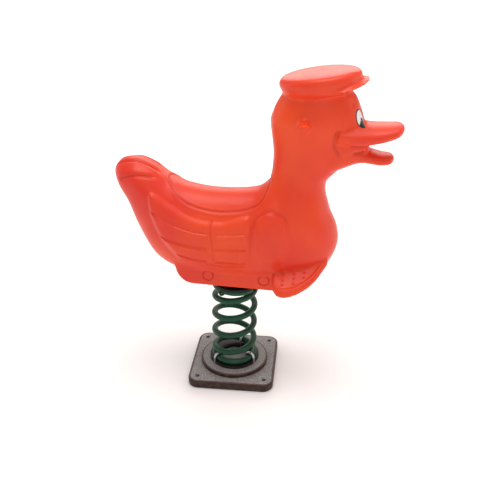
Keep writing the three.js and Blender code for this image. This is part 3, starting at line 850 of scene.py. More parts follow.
# %% The hull, neck, head and beak
HULL = [
    [-375, 660, 690, 716, 44], [-330, 590, 670, 728, 64], [-300, 512, 650, 730, 78],
    [-255, 430, 605, 712, 95], [-210, 394, 560, 680, 104], [-150, 376, 525, 658, 108],
    [-60, 368, 505, 650, 108], [60, 368, 500, 666, 107], [100, 370, 500, 700, 106],
    [140, 374, 500, 680, 104], [190, 384, 500, 610, 98], [250, 412, 502, 585, 78],
    [300, 450, 508, 560, 44],
]
NECK = [
    [400, 50, 256, 62], [440, 52, 288, 82], [505, 54, 309, 94], [560, 58, 302, 96],
    [620, 66, 274, 88], [700, 90, 256, 67], [745, 96, 290, 65], [790, 95, 314, 70],
    [860, 81, 338, 78], [890, 82, 345, 79], [950, 110, 320, 70], [992, 140, 292, 56],
]
UPPER_BEAK = [
    [262, 834, 855, 878, 80], [330, 826, 849, 886, 78], [370, 830, 853, 884, 68],
    [420, 843, 865, 887, 57], [458, 860, 876, 893, 40],
]
LOWER_BEAK = [
    [240, 720, 780, 826, 62], [295, 748, 792, 826, 62], [345, 770, 794, 816, 48],
    [400, 767, 785, 801, 42], [441, 770, 786, 801, 28],
]
CHEEK = [[255, 775, 815, 862, 66], [310, 780, 818, 860, 63], [366, 806, 824, 842, 40]]

bodies = [
    rounded_body(HULL, lengthwise, 30, 96, 128),
    rounded_body(NECK, upwards, 34, 96, 128),
    rounded_body(UPPER_BEAK, lengthwise, 20),
    rounded_body(LOWER_BEAK, lengthwise, 16),
    rounded_body(CHEEK, lengthwise, 14),
]
print("hull, neck and beak:", sum(len(body.faces) for body in bodies), "faces before fusing")

# %% [markdown]
# The flat cap is a low round body, and its peak a thin one that shows only in front. Both are
# drawn about their own middle and tipped back with the head. It is a plain cap with no badge.

# %% The cap, its peak and the bosses for the handles
CAP = [[-26, -94, 92, 73], [-12, -106, 105, 86], [5, -114, 112, 92], [18, -113, 113, 92],
       [28, -102, 105, 85], [34, -92, 96, 77]]
CAP_AT, CAP_TIP = (214, 0, 986), math.radians(-10.5)
PEAK = [[-10, -70, 93, 80], [-2, -72, 105, 90], [7, -70, 102, 86]]
PEAK_AT, PEAK_TIP = (246, 0, 977), math.radians(-18)
HANDLE_X, HANDLE_Z, BOSS_RADIUS, BOSS_END = 180, 886, 19.5, 84

bodies.append(place(rounded_body(CAP, upwards, 7), Matrix.Rotation(CAP_TIP, 4, "Y"),
                    Matrix.Translation(CAP_AT)))
bodies.append(place(rounded_body(PEAK, upwards, 8), Matrix.Rotation(PEAK_TIP, 4, "Y"),
                    Matrix.Translation(PEAK_AT)))
boss = bmesh.new()
bmesh.ops.create_cone(boss, cap_ends=True, segments=40, radius1=BOSS_RADIUS, radius2=BOSS_RADIUS,
                      depth=2 * BOSS_END, matrix=Matrix.Translation((HANDLE_X, 0, HANDLE_Z))
                      @ Matrix.Rotation(math.pi / 2, 4, "X"))
bodies.append(boss)
print("cap, peak and boss added")

# %% [markdown]
# The keel is the box under the hull that the carrier channel sits in. It is one outline in
# side view, extruded across and bevelled. Each footrest is a plan outline extruded to a slab,
# bevelled all round and slanted so that the tread rises forwards and towards the hull.

# %% A slab from an outline
def slab(outline, depth, rounding):
    """A closed slab from an outline of points, its top and bottom edges rounded."""
    shape = bmesh.new()
    face = shape.faces.new([shape.verts.new(point) for point in outline])
    drawn = bmesh.ops.extrude_face_region(shape, geom=[face])["geom"]
    top = verts_in(drawn)
    bmesh.ops.translate(shape, verts=top, vec=depth)
    bmesh.ops.recalc_face_normals(shape, faces=shape.faces)
    direction = Vector(depth).normalized()
    rims = [edge for edge in shape.edges
            if abs((edge.verts[1].co - edge.verts[0].co).normalized().dot(direction)) < 0.5]
    bevelled(shape, rims, rounding, 5)
    return shape


def smooth_outline(points, steps=6):
    """Draws a closed smooth curve through the points."""
    count = len(points)
    drawn = []
    for i in range(count):
        p0, p1, p2, p3 = (Vector(points[(i + k) % count]) for k in (-1, 0, 1, 2))
        for k in range(steps):
            t = k / steps
            drawn.append(0.5 * (2 * p1 + (p2 - p0) * t + (2 * p0 - 5 * p1 + 4 * p2 - p3) * t ** 2
                                + (3 * p1 - p0 - 3 * p2 + p3) * t ** 3))
    return drawn


def bezier(a, b, c, d, steps=12):
    """Points along one Bezier curve, without its last point."""
    drawn = []
    for k in range(steps):
        t = k / steps
        drawn.append((1 - t) ** 3 * Vector(a) + 3 * (1 - t) ** 2 * t * Vector(b)
                     + 3 * (1 - t) * t ** 2 * Vector(c) + t ** 3 * Vector(d))
    return drawn


# %% The keel and the footrests
KEEL_HALF, KEEL_TOP, KEEL_BACK, KEEL_FRONT, KEEL_ROUND = 80, 440, -186, 185, 8
keel_outline = [
    *bezier((KEEL_BACK, -KEEL_HALF, KEEL_TOP), (KEEL_BACK + 2, -KEEL_HALF, 392),
            (KEEL_BACK + 18, -KEEL_HALF, KEEL_FLOOR), (KEEL_BACK + 66, -KEEL_HALF, KEEL_FLOOR)),
    Vector((KEEL_BACK + 66, -KEEL_HALF, KEEL_FLOOR)),
    *bezier((KEEL_FRONT - 60, -KEEL_HALF, KEEL_FLOOR), (KEEL_FRONT - 25, -KEEL_HALF, KEEL_FLOOR),
            (KEEL_FRONT - 10, -KEEL_HALF, 385), (KEEL_FRONT, -KEEL_HALF, KEEL_TOP)),
    Vector((KEEL_FRONT, -KEEL_HALF, KEEL_TOP)),
]
bodies.append(slab(keel_outline, (0, 2 * KEEL_HALF, 0), KEEL_ROUND))

REST_PLAN = [(150, 60), (122, 92), (124, 128), (142, 148), (170, 152), (205, 142), (242, 118),
             (268, 86), (284, 50), (230, 30)]
REST_THICK, REST_ROUND = 26, 9
REST_AT = Vector((121, 88, 419))
REST_RISE_FORWARD, REST_RISE_INWARD = 0.15, 0.62


def tread_level(x, y):
    """The height of the middle of a footrest's slab. y is measured outwards on either side."""
    return REST_AT.z + REST_RISE_FORWARD * (x - REST_AT.x) - REST_RISE_INWARD * (y - REST_AT.y)


for side in RIDER_SIDES.values():
    outline = smooth_outline([(x, y, -REST_THICK / 2) for x, y in REST_PLAN])
    rest = slab(outline, (0, 0, REST_THICK), REST_ROUND)
    for vert in rest.verts:
        vert.co.z += tread_level(vert.co.x, vert.co.y)
        vert.co.y *= side
    bodies.append(rest)
print("footrests added,", len(bodies), "bodies in all")

# %% [markdown]
# ## Fusing the bodies into one skin
#
# The rough bodies cross each other. A voxel Remesh takes the outside of them all and gives one
# even skin of small quads. Smoothing then melts the steps of the voxels. The joint of neck and
# hull is a wide soft hollow on the real duck, so that part is smoothed more.

# %% Fuse
VOXEL = 4.4


def fused(shapes, voxel):
    together = bpy.data.meshes.new("rough_duck")
    for shape in shapes:
        bmesh.ops.recalc_face_normals(shape, faces=shape.faces)
        rough = bpy.data.meshes.new("rough")
        shape.to_mesh(rough)
        shape.free()
        gathered = bmesh.new()
        gathered.from_mesh(together)
        gathered.from_mesh(rough)
        gathered.to_mesh(together)
        gathered.free()
        bpy.data.meshes.remove(rough)
    duck = bpy.data.objects.new("rough_duck", together)
    bpy.context.scene.collection.objects.link(duck)
    remesh = duck.modifiers.new("fuse", "REMESH")
    remesh.mode = "VOXEL"
    remesh.voxel_size = voxel
    depsgraph = bpy.context.evaluated_depsgraph_get()
    skin = bmesh.new()
    skin.from_mesh(bpy.data.meshes.new_from_object(duck.evaluated_get(depsgraph)))
    bpy.data.objects.remove(duck)
    return skin


skin = fused(bodies, VOXEL)
print("fused skin:", len(skin.faces), "faces")

# %% Smooth the skin, more where the forms melt together
def melt(region, passes):
    verts = [vert for vert in skin.verts if region(vert.co)]
    for _ in range(passes):
        eased(skin, verts, 0.5)
    print(f"smoothed {len(verts)} vertices {passes} times")


melt(lambda p: True, 5)
melt(lambda p: 35 < p.x < 150 and 610 < p.z < 740, 26)
melt(lambda p: 150 < p.x < 320 and 540 < p.z < 700, 12)
melt(lambda p: 250 < p.x < 345 and abs(p.y) < 90 and 745 < p.z < 900, 8)
melt(lambda p: 318 < p.x < 392 and abs(p.y) < 62 and 866 < p.z < 936, 14)
melt(lambda p: 200 < p.x < 330 and 935 < p.z < 985, 5)
melt(lambda p: p.x < -150 and 580 < p.z, 8)
melt(lambda p: 400 < p.z < 450 and abs(p.y) > 60 and p.x < 110, 6)

# %% [markdown]
# ## Carving the fine lines
#
# The lines on the duck are drawn as a few points in the side view or along the back, joined by
# a smooth curve and laid on the skin. They are the edge of the saddle, the roll of the wing
# with its rows of feathers, the shoulder, the folds of the tail, and the folds of the cheek and
# mouth. The skin is first made finer along them, because a groove needs several rows of faces
# across it. Then each vertex near a line is pushed in or out along its own normal.

# %% Draw a line and lay it on the skin
def smooth_line(points, closed=False, spacing=2.0):
    """Samples a smooth curve through the points, each with its direction and its strength."""
    if closed:
        chain = [Vector(points[k % len(points)]) for k in range(-1, len(points) + 2)]
    else:
        ends = [2 * Vector(points[0]) - Vector(points[1]), 2 * Vector(points[-1]) - Vector(points[-2])]
        chain = [ends[0], *(Vector(point) for point in points), ends[1]]
    drawn = []
    for p0, p1, p2, p3 in zip(chain, chain[1:], chain[2:], chain[3:]):
        steps = max(2, round((p2 - p1).length / spacing))
        for k in range(steps):
            t = k / steps
            drawn.append(0.5 * (2 * p1 + (p2 - p0) * t + (2 * p0 - 5 * p1 + 4 * p2 - p3) * t ** 2
                                + (3 * p1 - p0 - 3 * p2 + p3) * t ** 3))
    if not closed:
        drawn.append(Vector(points[-1]))
    return drawn


class Line:
    """A curve that vertices are measured against."""

    def __init__(self, points, closed=False, surface=None, fade_start=14, fade_end=14):
        samples = smooth_line(points, closed)
        if surface:
            samples = [surface.find_nearest(sample)[0] for sample in samples]
        last = len(samples) - 1
        nexts = [samples[(k + 1) % len(samples)] if closed else samples[min(k + 1, last)]
                 for k in range(last + 1)]
        befores = [samples[k - 1] if closed or k else samples[0] for k in range(last + 1)]
        self.directions = [(n - b).normalized() for n, b in zip(nexts, befores)]
        self.samples = samples
        lengths = [0.0]
        for a, b in zip(samples, samples[1:]):
            lengths.append(lengths[-1] + (b - a).length)
        total = lengths[-1]
        self.strengths = [1.0 if closed else fade(d, fade_start) * fade(total - d, fade_end)
                          for d in lengths]
        self.tree = KDTree(len(samples))
        for index, sample in enumerate(samples):
            self.tree.insert(sample, index)
        self.tree.balance()

    def measure(self, point):
        """Distance and offset from the line, its direction and its strength there."""
        sample, index, distance = self.tree.find(point)
        return distance, point - sample, self.directions[index], self.strengths[index]


def fade(distance, length):
    if length <= 0:
        return 1.0
    t = min(max(distance / length, 0), 1)
    return t * t * (3 - 2 * t)


# %% The edge of the saddle, the folds of the tail and the folds of the face
# Each point is (forward, to the left, up) on the left half, which the right half mirrors.
SADDLE = [(-206, 0, 681), (-202, 28, 675), (-182, 56, 654), (-140, 76, 626), (-60, 82, 611),
          (20, 78, 620), (72, 64, 645), (92, 30, 688), (96, 0, 697)]
TAIL_UPPER = [(-368, 18, 700), (-320, 25, 726), (-270, 23, 718), (-227, 22, 692)]
TAIL_LOWER = [(-355, 56, 676), (-306, 66, 695), (-266, 60, 695), (-236, 50, 686)]
MUZZLE = [(292, 76, 878), (270, 78, 868), (266, 76, 835), (284, 67, 792)]
SMILE = [(366, 44, 828), (330, 62, 829), (303, 68, 836)]
LOWER_LIP = [(356, 46, 813), (334, 58, 808), (312, 64, 812)]
BROW_DIMPLE, BROW_BULGE = Vector((306, 44, 944)), Vector((318, 30, 938))
print("saddle length", SADDLE[-1][0] - SADDLE[0][0], "mm")

# %% [markdown]
# The wing has three rows of feathers, one under the other at an even step. Behind the divider
# each row sweeps up to the rear edge of the hull, the top row most. In front of it the rows
# run nearly level to the shoulder and lift a little at the end. So a row is a parabola that
# lies level at the divider, and the rows come out of one loop.

# %% The rows of feathers, the divider and the shoulder
DIVIDER_X, SHOULDER_X = -64, 50
TOP_ROW, ROW_STEP = 545, 44
FLANK = 106
REAR_ENDS, REAR_LIFTS = (-252, -223, -176), (60, 26, 15)
FRONT_LIFTS = (12, 6, 3)


def feather_row(start, end, level, lift, points=4):
    """A parabola from start, where it lies level, to end, where it has risen by lift."""
    shares = [k / (points - 1) for k in range(points)]
    return [(start + (end - start) * share, FLANK, level + lift * share ** 2) for share in shares]


FEATHERS = []
for row in range(3):
    level = TOP_ROW - ROW_STEP * row
    FEATHERS.append(feather_row(DIVIDER_X - 5, REAR_ENDS[row], level, REAR_LIFTS[row]))
    FEATHERS.append(feather_row(DIVIDER_X + 6, SHOULDER_X - 4, level, FRONT_LIFTS[row]))
DIVIDER = [(DIVIDER_X - 3, 94, 592), (DIVIDER_X - 6, 100, 562), (DIVIDER_X + 2, 106, 520),
           (DIVIDER_X + 8, 103, 455)]

SHOULDER_MIDDLE, SHOULDER_HALF, SHOULDER_SPRING, SHOULDER_ARCH = 106, 56, 560, 68


def shoulder_arch(first, last, points):
    """Points over the shoulder's arch between two angles, counted from its front end."""
    angles = [math.radians(first + (last - first) * k / (points - 1)) for k in range(points)]
    return [(SHOULDER_MIDDLE + SHOULDER_HALF * math.cos(angle), 95,
             SHOULDER_SPRING + SHOULDER_ARCH * math.sin(angle)) for angle in angles]


SHOULDER_EDGE = [(SHOULDER_X, FLANK, 480), (SHOULDER_X, FLANK, 520), *shoulder_arch(180, 15, 8)]
print("feather rows:", len(FEATHERS))

# %% Lay them on the skin
half_skin = BVHTree.FromBMesh(skin)
saddle = Line(SADDLE, surface=half_skin, fade_start=0, fade_end=0)
grooves = [Line(points, surface=half_skin) for points in FEATHERS]
divider = Line(DIVIDER, surface=half_skin)
shoulder_edge = Line(SHOULDER_EDGE, surface=half_skin, fade_start=40, fade_end=30)
tail_folds = [Line(points, surface=half_skin, fade_start=18, fade_end=26)
              for points in (TAIL_UPPER, TAIL_LOWER)]
muzzle = Line(MUZZLE, surface=half_skin, fade_start=16, fade_end=18)
mouth_folds = [Line(points, surface=half_skin, fade_start=4, fade_end=16)
               for points in (SMILE, LOWER_LIP)]
thin_lines = [saddle, *grooves, divider, shoulder_edge, *tail_folds, muzzle, *mouth_folds]

# %% Make the skin finer along the lines
FINE_BAND = 11


def mirrored(point):
    return Vector((point.x, abs(point.y), point.z))


def near_a_line(point, reach):
    spot = mirrored(point)
    return any(line.tree.find(spot)[2] < reach for line in thin_lines)


close = [face for face in skin.faces if near_a_line(face.calc_center_median(), FINE_BAND)]
edges = list({edge for face in close for edge in face.edges})
bmesh.ops.subdivide_edges(skin, edges=edges, cuts=1, use_grid_fill=True, smooth=0.6)
bmesh.ops.triangulate(skin, faces=[face for face in skin.faces if len(face.verts) > 4])
print("refined skin:", len(skin.faces), "faces")

# %% [markdown]
# The wing and the shoulder are raised pads. A pad is an outline in the side view. Inside it the
# skin is pushed out, rising over an edge whose width differs from top to bottom.

# %% Raised pads
WING = [(-259, 635), (-246, 658), (-190, 626), (-120, 594), (-40, 589), (48, 606), (49, 500),
        (40, 440), (-60, 430), (-170, 450), (-236, 540)]
SHOULDER = [(x, z) for x, _, z in shoulder_arch(0, 180, 9)] + [
    (SHOULDER_X, 500), (70, 455), (110, 445), (150, 465), (164, 510)]
WING_HEIGHT, SHOULDER_HEIGHT = 10.5, 7.5


def pad_outline(points):
    return Line([(x, 0, z) for x, z in points], closed=True)


def turns_left(line):
    """True if the outline runs anticlockwise when X goes right and Z goes up."""
    samples = line.samples
    area = sum(a.x * b.z - b.x * a.z for a, b in zip(samples, samples[1:] + samples[:1]))
    return area > 0


def depth_inside(line, leftwards, x, z):
    """How far a point lies inside an outline, or 0 outside it."""
    distance, offset, direction, _ = line.measure(Vector((x, 0, z)))
    left = direction.x * offset.z - direction.z * offset.x
    return distance if (left > 0) == leftwards else 0.0


wing_line, shoulder_line = pad_outline(WING), pad_outline(SHOULDER)
wing_left, shoulder_left = turns_left(wing_line), turns_left(shoulder_line)
seat_line = pad_outline([(x, y) for x, y, _ in SADDLE] + [(x, -y) for x, y, _ in SADDLE[-2:0:-1]])
seat_left = turns_left(seat_line)


def pad_rise(line, leftwards, point, height, edges, levels):
    """A pad's rise. Its edge is edges[0] wide at levels[0], the bottom, and edges[1] at the top."""
    share = min(max((point.z - levels[0]) / (levels[1] - levels[0]), 0), 1)
    edge = edges[0] + (edges[1] - edges[0]) * share
    return height * fade(depth_inside(line, leftwards, point.x, point.z), edge)


# %% [markdown]
# A feather line is like a shingle: a narrow crease, and just below it the rounded upper edge of
# the next feather, which catches the light. The saddle's edge is a wider groove, with the seat
# a little sunk inside it. Small marks for the brow are round dimples.

# %% How a line shapes the skin
SEAT_SINK = 2.0
SHINGLE_EDGE = 2


def groove(distance, depth, half_width):
    return -depth * math.exp(-(distance / half_width) ** 2)


def shingle(below, step, reach):
    """The skin steps out at the line, and eases back to where it was on either side."""
    drop = math.copysign(step * math.exp(-abs(below) / reach), below)
    return drop * min(abs(below) / SHINGLE_EDGE, 1)


def crest(offset, height, at, width):
    return height * math.exp(-((offset - at) / width) ** 2)


def shaping(point, normal):
    """How far the skin moves out at this point, and how much painted shade its crease gets, 0 to 1."""
    spot = mirrored(point)
    rise, shade_in_crease = 0.0, 0.0
    if abs(normal.y) > 0.25 and point.x < 190 and 425 < point.z < 665:
        side = min(abs(normal.y) * 1.6, 1)
        rise += side * pad_rise(wing_line, wing_left, spot, WING_HEIGHT, (38, 14), (450, 640))
        rise += side * pad_rise(shoulder_line, shoulder_left, spot, SHOULDER_HEIGHT,
                                (40, 15), (470, 620))
    for line in grooves:
        distance, offset, _, strength = line.measure(spot)
        if distance < 44:
            below = math.copysign(distance, -offset.z)
            rise += strength * (groove(distance, 1.6, 2.2) + shingle(below, 3.4, 13))
    distance, offset, _, strength = divider.measure(spot)
    if distance < 20:
        rise += strength * groove(distance, 2.4, 3.0)
        shade_in_crease = max(shade_in_crease, 0.25 * strength * math.exp(-(distance / 2.6) ** 2))
    distance, offset, _, strength = shoulder_edge.measure(spot)
    if distance < 20:
        rise += strength * groove(distance, 2.2, 4.0)
        shade_in_crease = max(shade_in_crease, 0.2 * strength * math.exp(-(distance / 3.5) ** 2))
    distance, _, _, strength = saddle.measure(spot)
    seat_depth = depth_inside(seat_line, seat_left, point.x, point.y)
    if distance < 60:
        rise += strength * groove(distance, 2.6, 4.4)
        rise += 0 if seat_depth else crest(distance, 1.8, 9, 5)
        shade_in_crease = max(shade_in_crease, 0.4 * math.exp(-(distance / 3.6) ** 2))
    if point.z > 590:
        rise -= SEAT_SINK * fade(seat_depth, 12)
    for line in tail_folds:
        distance, offset, _, strength = line.measure(spot)
        if distance < 24:
            rise += strength * (groove(distance, 4.2, 5.0) + crest(distance, 1.2, 13, 6))
            shade_in_crease = max(shade_in_crease, 0.35 * strength * math.exp(-(distance / 3.6) ** 2))
    distance, offset, _, strength = muzzle.measure(spot)
    if distance < 30:
        rise += strength * groove(distance, 3.2, 5.0)
        rise += strength * crest(distance if offset.x > 0 else -distance, 3.0, 12, 8)
        shade_in_crease = max(shade_in_crease, 0.3 * strength * math.exp(-(distance / 4.5) ** 2))
    for line in mouth_folds:
        distance, offset, _, strength = line.measure(spot)
        if distance < 20:
            rise += strength * groove(distance, 4.6, 5.0)
            shade_in_crease = max(shade_in_crease, 0.6 * strength * math.exp(-(distance / 3.6) ** 2))
    dimple = (spot - BROW_DIMPLE).length
    if dimple < 20:
        rise += groove(dimple, 3.0, 5.0)
        shade_in_crease = max(shade_in_crease, 0.4 * math.exp(-(dimple / 4.0) ** 2))
    bulge = (spot - BROW_BULGE).length
    if bulge < 40:
        rise += 3.0 * math.exp(-(bulge / 13) ** 2)
    return rise, shade_in_crease


# %% [markdown]
# The treads of the footrests are dished inside a raised rim along their outer edge, which
# keeps a foot from sliding off. A vertex on top of a footrest is sunk by how far it lies
# inside the rim.

# %% Dish the treads
TREAD_RIM, TREAD_SINK = 14, 3.2
tread_line = Line([(x, 0, y) for x, y in REST_PLAN], closed=True)
tread_left = turns_left(tread_line)


def tread_sink(point, normal):
    spot = mirrored(point)
    if normal.z < 0.35 or not 100 < spot.x < 310 or not 60 < spot.y < 170:
        return 0.0
    over = spot.z - tread_level(spot.x, spot.y)
    if not 4 < over < 24:
        return 0.0
    depth = depth_inside(tread_line, tread_left, spot.x, spot.y)
    return -TREAD_SINK * fade(depth - REST_ROUND, TREAD_RIM - REST_ROUND)


# %% Carve
skin.normal_update()
moves = []
for vert in skin.verts:
    rise, shade_in_crease = shaping(vert.co, vert.normal)
    rise += tread_sink(vert.co, vert.normal)
    moves.append((rise, shade_in_crease))
# Each vertex keeps how much painted shade its crease gets, and the red material darkens by it.
crease_shade_layer = skin.verts.layers.float.new("shade_in_crease")
for vert, (rise, shade_in_crease) in zip(skin.verts, moves):
    vert.co += vert.normal * rise
    vert[crease_shade_layer] = shade_in_crease
print("deepest", round(min(rise for rise, _ in moves), 1), "highest",
      round(max(rise for rise, _ in moves), 1), "mm")
close = [vert for vert in skin.verts if near_a_line(vert.co, FINE_BAND)]
eased(skin, close, 0.35)
carved = BVHTree.FromBMesh(skin)

# %% Finish the duck
bmesh.ops.transform(skin, matrix=LEAN, verts=skin.verts)
duck = finished(skin, "duck_body", DUCK_RED, crisp=70)

# %% [markdown]
# The moulding is open under the keel, where the hub of the top plate goes in. A cylinder and a
# box are cut out of the body there, which leaves room for the channel that carries the duck.

# %% Open the keel
FLOOR_HOLE = 50
CHANNEL_BACK, CHANNEL_FRONT, CHANNEL_HALF, CHANNEL_HEIGHT = -108, 116, 72, 60
room = bmesh.new()
bmesh.ops.create_cone(room, cap_ends=True, segments=64, radius1=FLOOR_HOLE, radius2=FLOOR_HOLE,
                      depth=30, matrix=Matrix.Translation((0, 0, KEEL_FLOOR)))
bmesh.ops.transform(room, matrix=LEAN, verts=room.verts)
carved_out(duck, room)
room = bmesh.new()
span = CHANNEL_FRONT - CHANNEL_BACK + 8
box_matrix = Matrix.Translation(((CHANNEL_FRONT + CHANNEL_BACK) / 2, 0,
                                 KEEL_FLOOR + WALL + CHANNEL_HEIGHT / 2 + 4))
bmesh.ops.create_cube(room, size=1, matrix=box_matrix
                      @ Matrix.Diagonal((span, 2 * CHANNEL_HALF + 1, CHANNEL_HEIGHT + 10, 1)))
bmesh.ops.transform(room, matrix=LEAN, verts=room.verts)
carved_out(duck, room)
duck.data.shade_smooth()
duck.data.set_sharp_from_angle(angle=math.radians(60))
seat_piece(duck, "rider", "shell", "duck_shell")
print("duck:", len(duck.data.polygons), "faces")

# %% [markdown]
# ## Grips, plugs and studs
#
# The grips are moulded knobs pushed on the ends of the handle bar, with a collar at the head.
# The plugs are round caps that cover the keel's cross bolts, with a ring groove. The studs are
# small domes on the treads.

# %% The hand grips
BAR_RADIUS, BAR_REACH = 10, 119
GRIP_RADIUS, GRIP_COLLAR, GRIP_ROOT, GRIP_TIP = 14.5, 16.5, 84.5, 127
for name, side in RIDER_SIDES.items():
    bore = BAR_RADIUS + GAP
    profile = [(0, BAR_REACH + GAP), (bore, BAR_REACH + GAP), (bore, GRIP_ROOT),
               (GRIP_COLLAR, GRIP_ROOT), (GRIP_COLLAR, GRIP_ROOT + 3),
               (GRIP_RADIUS, GRIP_ROOT + 9), (GRIP_RADIUS - 0.4, GRIP_ROOT + 20),
               (GRIP_RADIUS, GRIP_TIP - 8), (GRIP_RADIUS, GRIP_TIP), (0, GRIP_TIP)]
    knob = turned_part(profile, sides=56, rounds=[(GRIP_RADIUS, GRIP_TIP, 5),
                                                  (GRIP_COLLAR, GRIP_ROOT + 3, 1.5)])
    place(knob, Matrix.Rotation(-side * math.pi / 2, 4, "X"),
          Matrix.Translation((HANDLE_X, 0, HANDLE_Z)), LEAN)
    grip = finished(knob, f"hand_grip_{name}", DUCK_RED, crisp=45)
    seat_piece(grip, "rider", "shell", f"grip_{name}")

# %% The plugs over the cross bolts
BOLT_LEVEL = 391
BOLT_PLACES = {"rear": -77, "front": 95}
PLUG_RADIUS, PLUG_THICK = 18, 2.6
for end, x in BOLT_PLACES.items():
    for name, side in RIDER_SIDES.items():
        disc = turned_part([(0, 0), (PLUG_RADIUS, 0), (PLUG_RADIUS, PLUG_THICK),
                            (17.2, PLUG_THICK), (16.6, 1.0), (15.2, 1.0), (14.4, PLUG_THICK),
                            (0, PLUG_THICK)], sides=48)
        # The ring groove is darkened with painted shade, through the same attribute as the duck's
        # creases.
        ring_shade = disc.verts.layers.float.new("shade_in_crease")
        for vert in disc.verts:
            vert[ring_shade] = 0.75 if 15 < math.hypot(vert.co.x, vert.co.y) < 17 else 0.0
        out = KEEL_HALF + GAP - 1.2
        place(disc, Matrix.Rotation(-side * math.pi / 2, 4, "X"),
              Matrix.Translation((x, side * out, BOLT_LEVEL)), LEAN)
        plug = finished(disc, f"plug_{end}_{name}", DUCK_RED, crisp=40)
        seat_piece(plug, "rider", "shell", f"keel_plug_{end}_{name}")

# %% The studs on the treads
STUD_COLUMNS = {154: (98, 112, 126), 186: (96, 110, 124), 216: (94, 107)}
STUDS = [(x, y) for x, column in STUD_COLUMNS.items() for y in column]
STUD_RADIUS, STUD_HEIGHT = 5.0, 3.6
for name, side in RIDER_SIDES.items():
    domes = bmesh.new()
    for x, y in STUDS:
        over_tread = Vector((x, side * y, tread_level(x, y) + REST_THICK))
        spot, normal, _, _ = carved.ray_cast(over_tread, -UP)
        dome = Matrix.Translation(spot - normal * (STUD_RADIUS - STUD_HEIGHT))
        bmesh.ops.create_uvsphere(domes, u_segments=20, v_segments=12, radius=STUD_RADIUS, matrix=dome)
    bmesh.ops.transform(domes, matrix=LEAN, verts=domes.verts)
    studs = finished(domes, f"tread_studs_{name}", DUCK_RED)
    seat_piece(studs, "rider", "shell")

# %% [markdown]
# ## The eyes
#
# The eyes are plain enamelled ovals laid on the curve of the head: a black rim, a white field
# and a black pupil low down towards the beak, each a thin plate on the last. A circle with inset
# rings is stretched to the oval, every vertex is dropped straight on the skin, and the sheet
# gets its thickness with Solidify.

# %% An oval laid on the head
EYE_RINGS = 6


def oval_on_head(side, oval, lift, thickness, share=1.0):
    """A thin oval plate on the skin. With a share under 1 it is that much smaller."""
    shape = bmesh.new()
    circle = bmesh.ops.create_circle(shape, cap_ends=True, segments=48, radius=1)
    middle = circle["verts"][0].link_faces[0]
    for _ in range(EYE_RINGS - 1):
        bmesh.ops.inset_region(shape, faces=[middle], thickness=1 / EYE_RINGS)
    bmesh.ops.poke(shape, faces=[middle])
    spot, normal, _, _ = carved.find_nearest(Vector((oval["x"], side * oval["y"], oval["z"])))
    upright = (UP - normal * normal.z).normalized()
    upright = Matrix.Rotation(-side * oval["lean"], 3, normal) @ upright
    across = upright.cross(normal)
    for vert in shape.verts:
        aim = spot + (across * vert.co.x * oval["half"] + upright * vert.co.y * oval["height"]) * share
        landed, _, _, _ = carved.ray_cast(aim + normal * 15, -normal)
        vert.co = (landed or aim) + normal * lift
    bmesh.ops.recalc_face_normals(shape, faces=shape.faces)
    if sum((face.normal for face in shape.faces), Vector()).dot(normal) < 0:
        bmesh.ops.reverse_faces(shape, faces=shape.faces)
    bmesh.ops.solidify(shape, geom=list(shape.faces), thickness=thickness)
    return place(shape, LEAN)


# %% Make both eyes
EYE = {"x": 329, "y": 35, "z": 905, "half": 14.5, "height": 27, "lean": math.radians(10)}
PUPIL = {"x": 334, "y": 32, "z": 897, "half": 5, "height": 9.5, "lean": math.radians(10)}
for name, side in RIDER_SIDES.items():
    rim = finished(oval_on_head(side, EYE, 1.2, 1.0), f"eye_rim_{name}", EYE_BLACK)
    seat_piece(rim, "rider", "eye", f"eye_{name}")
    white = finished(oval_on_head(side, EYE, 1.7, 0.45, share=0.87), f"eye_white_{name}", EYE_WHITE)
    seat_piece(white, "rider", "eye")
    pupil = finished(oval_on_head(side, PUPIL, 2.2, 0.45), f"pupil_{name}", EYE_BLACK)
    seat_piece(pupil, "rider", "eye")

# %% [markdown]
# ## Floor and light
#
# A pale floor runs far past the frame. Its emission is painted light: it glows a little, more the
# farther it lies from the duck, standing in for a backdrop's own lamps, so the floor far off is
# white while the shade stays near the base. A panel overhead gives the shadow under the base and
# the pale glints along every rounded upper edge. A panel behind the duck shines back from the
# level tops of the cap and the saddle, one in front fills the flank, and one at each side brings
# out the edges.

# %% The floor
FAR_GLOW = (0.0, 0.36)
GLOW_REACH = (0.7, 3.0)


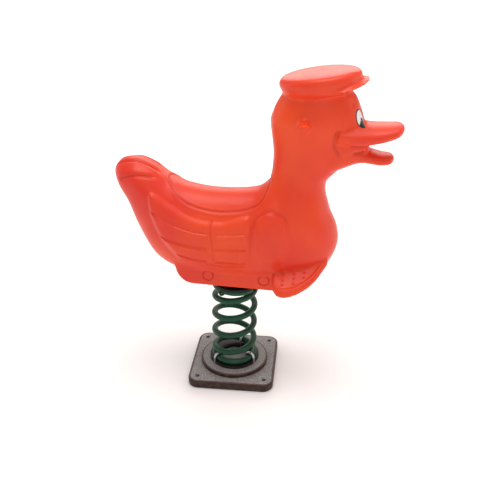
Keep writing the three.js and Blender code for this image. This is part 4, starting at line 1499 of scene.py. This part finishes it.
def floor_material():
    material, tree, shader = new_material("pale_floor", Specular_IOR_Level=0.0)
    cloud = ramp(tree, noise(tree, 0.6, 3), [(0.3, (0.955, 0.955, 0.955)), (0.7, (0.97, 0.97, 0.97))])
    tree.links.new(cloud, shader.inputs["Base Color"])
    tree.links.new(spread(tree, noise(tree, 2, 3), 0.9, 1.0), shader.inputs["Roughness"])
    place = tree.nodes.new("ShaderNodeTexCoord")
    length = tree.nodes.new("ShaderNodeVectorMath")
    length.operation = "LENGTH"
    tree.links.new(place.outputs["Object"], length.inputs[0])
    tree.links.new(spread(tree, length.outputs["Value"], *FAR_GLOW, *GLOW_REACH),
                   shader.inputs["Emission Strength"])
    shader.inputs["Emission Color"].default_value = (1, 1, 1, 1)
    return material


ground = bmesh.new()
bmesh.ops.create_grid(ground, x_segments=4, y_segments=4, size=40000,
                      matrix=Matrix.Translation((0, 0, -0.5)))
floor = finished(ground, "floor", floor_material())

# %% The lights
def soft_light(name, spot, aim, size, power, color=(1, 1, 1)):
    data = bpy.data.lights.new(name, "AREA")
    data.shape = "RECTANGLE"
    data.size, data.size_y = size
    data.energy = power
    data.color = color
    lamp = bpy.data.objects.new(name, data)
    lamp.location = spot
    lamp.rotation_euler = (Vector(spot) - Vector(aim)).to_track_quat("Z", "Y").to_euler()
    bpy.context.scene.collection.objects.link(lamp)
    print(name, power, "W")


WARM = (1, 0.88, 0.76)
soft_light("above", (0.1, -0.1, 4.3), (0.1, 0, 0.6), (2.4, 2.0), 62, (1, 0.95, 0.90))
soft_light("in_front", (0.6, -3.2, 2.2), (0.1, 0, 0.6), (2.2, 1.6), 13, WARM)
soft_light("behind", (0.1, 3.4, 2.3), (0.1, 0, 0.7), (3.6, 1.6), 52, (1, 0.93, 0.86))
soft_light("left_side", (-2.8, 0.2, 1.5), (0, 0, 0.6), (1.6, 2.0), 11, WARM)
soft_light("right_side", (2.9, 0.2, 1.3), (0, 0, 0.6), (1.6, 2.0), 11, WARM)

sun_data = bpy.data.lights.new("overhead", "SUN")
sun_data.energy = 0.8
sun_data.angle = math.radians(66)
sun = bpy.data.objects.new("overhead", sun_data)
sun.rotation_euler = Vector((0.20, 0.06, 1)).to_track_quat("Z", "Y").to_euler()
bpy.context.scene.collection.objects.link(sun)

world = bpy.data.worlds.new("studio")
world.use_nodes = True
sky = world.node_tree.nodes["Background"]
sky.inputs["Color"].default_value = (0.97, 0.98, 1, 1)
sky.inputs["Strength"].default_value = 0.45
bpy.context.scene.world = world
bpy.context.scene.view_settings.view_transform = "Standard"
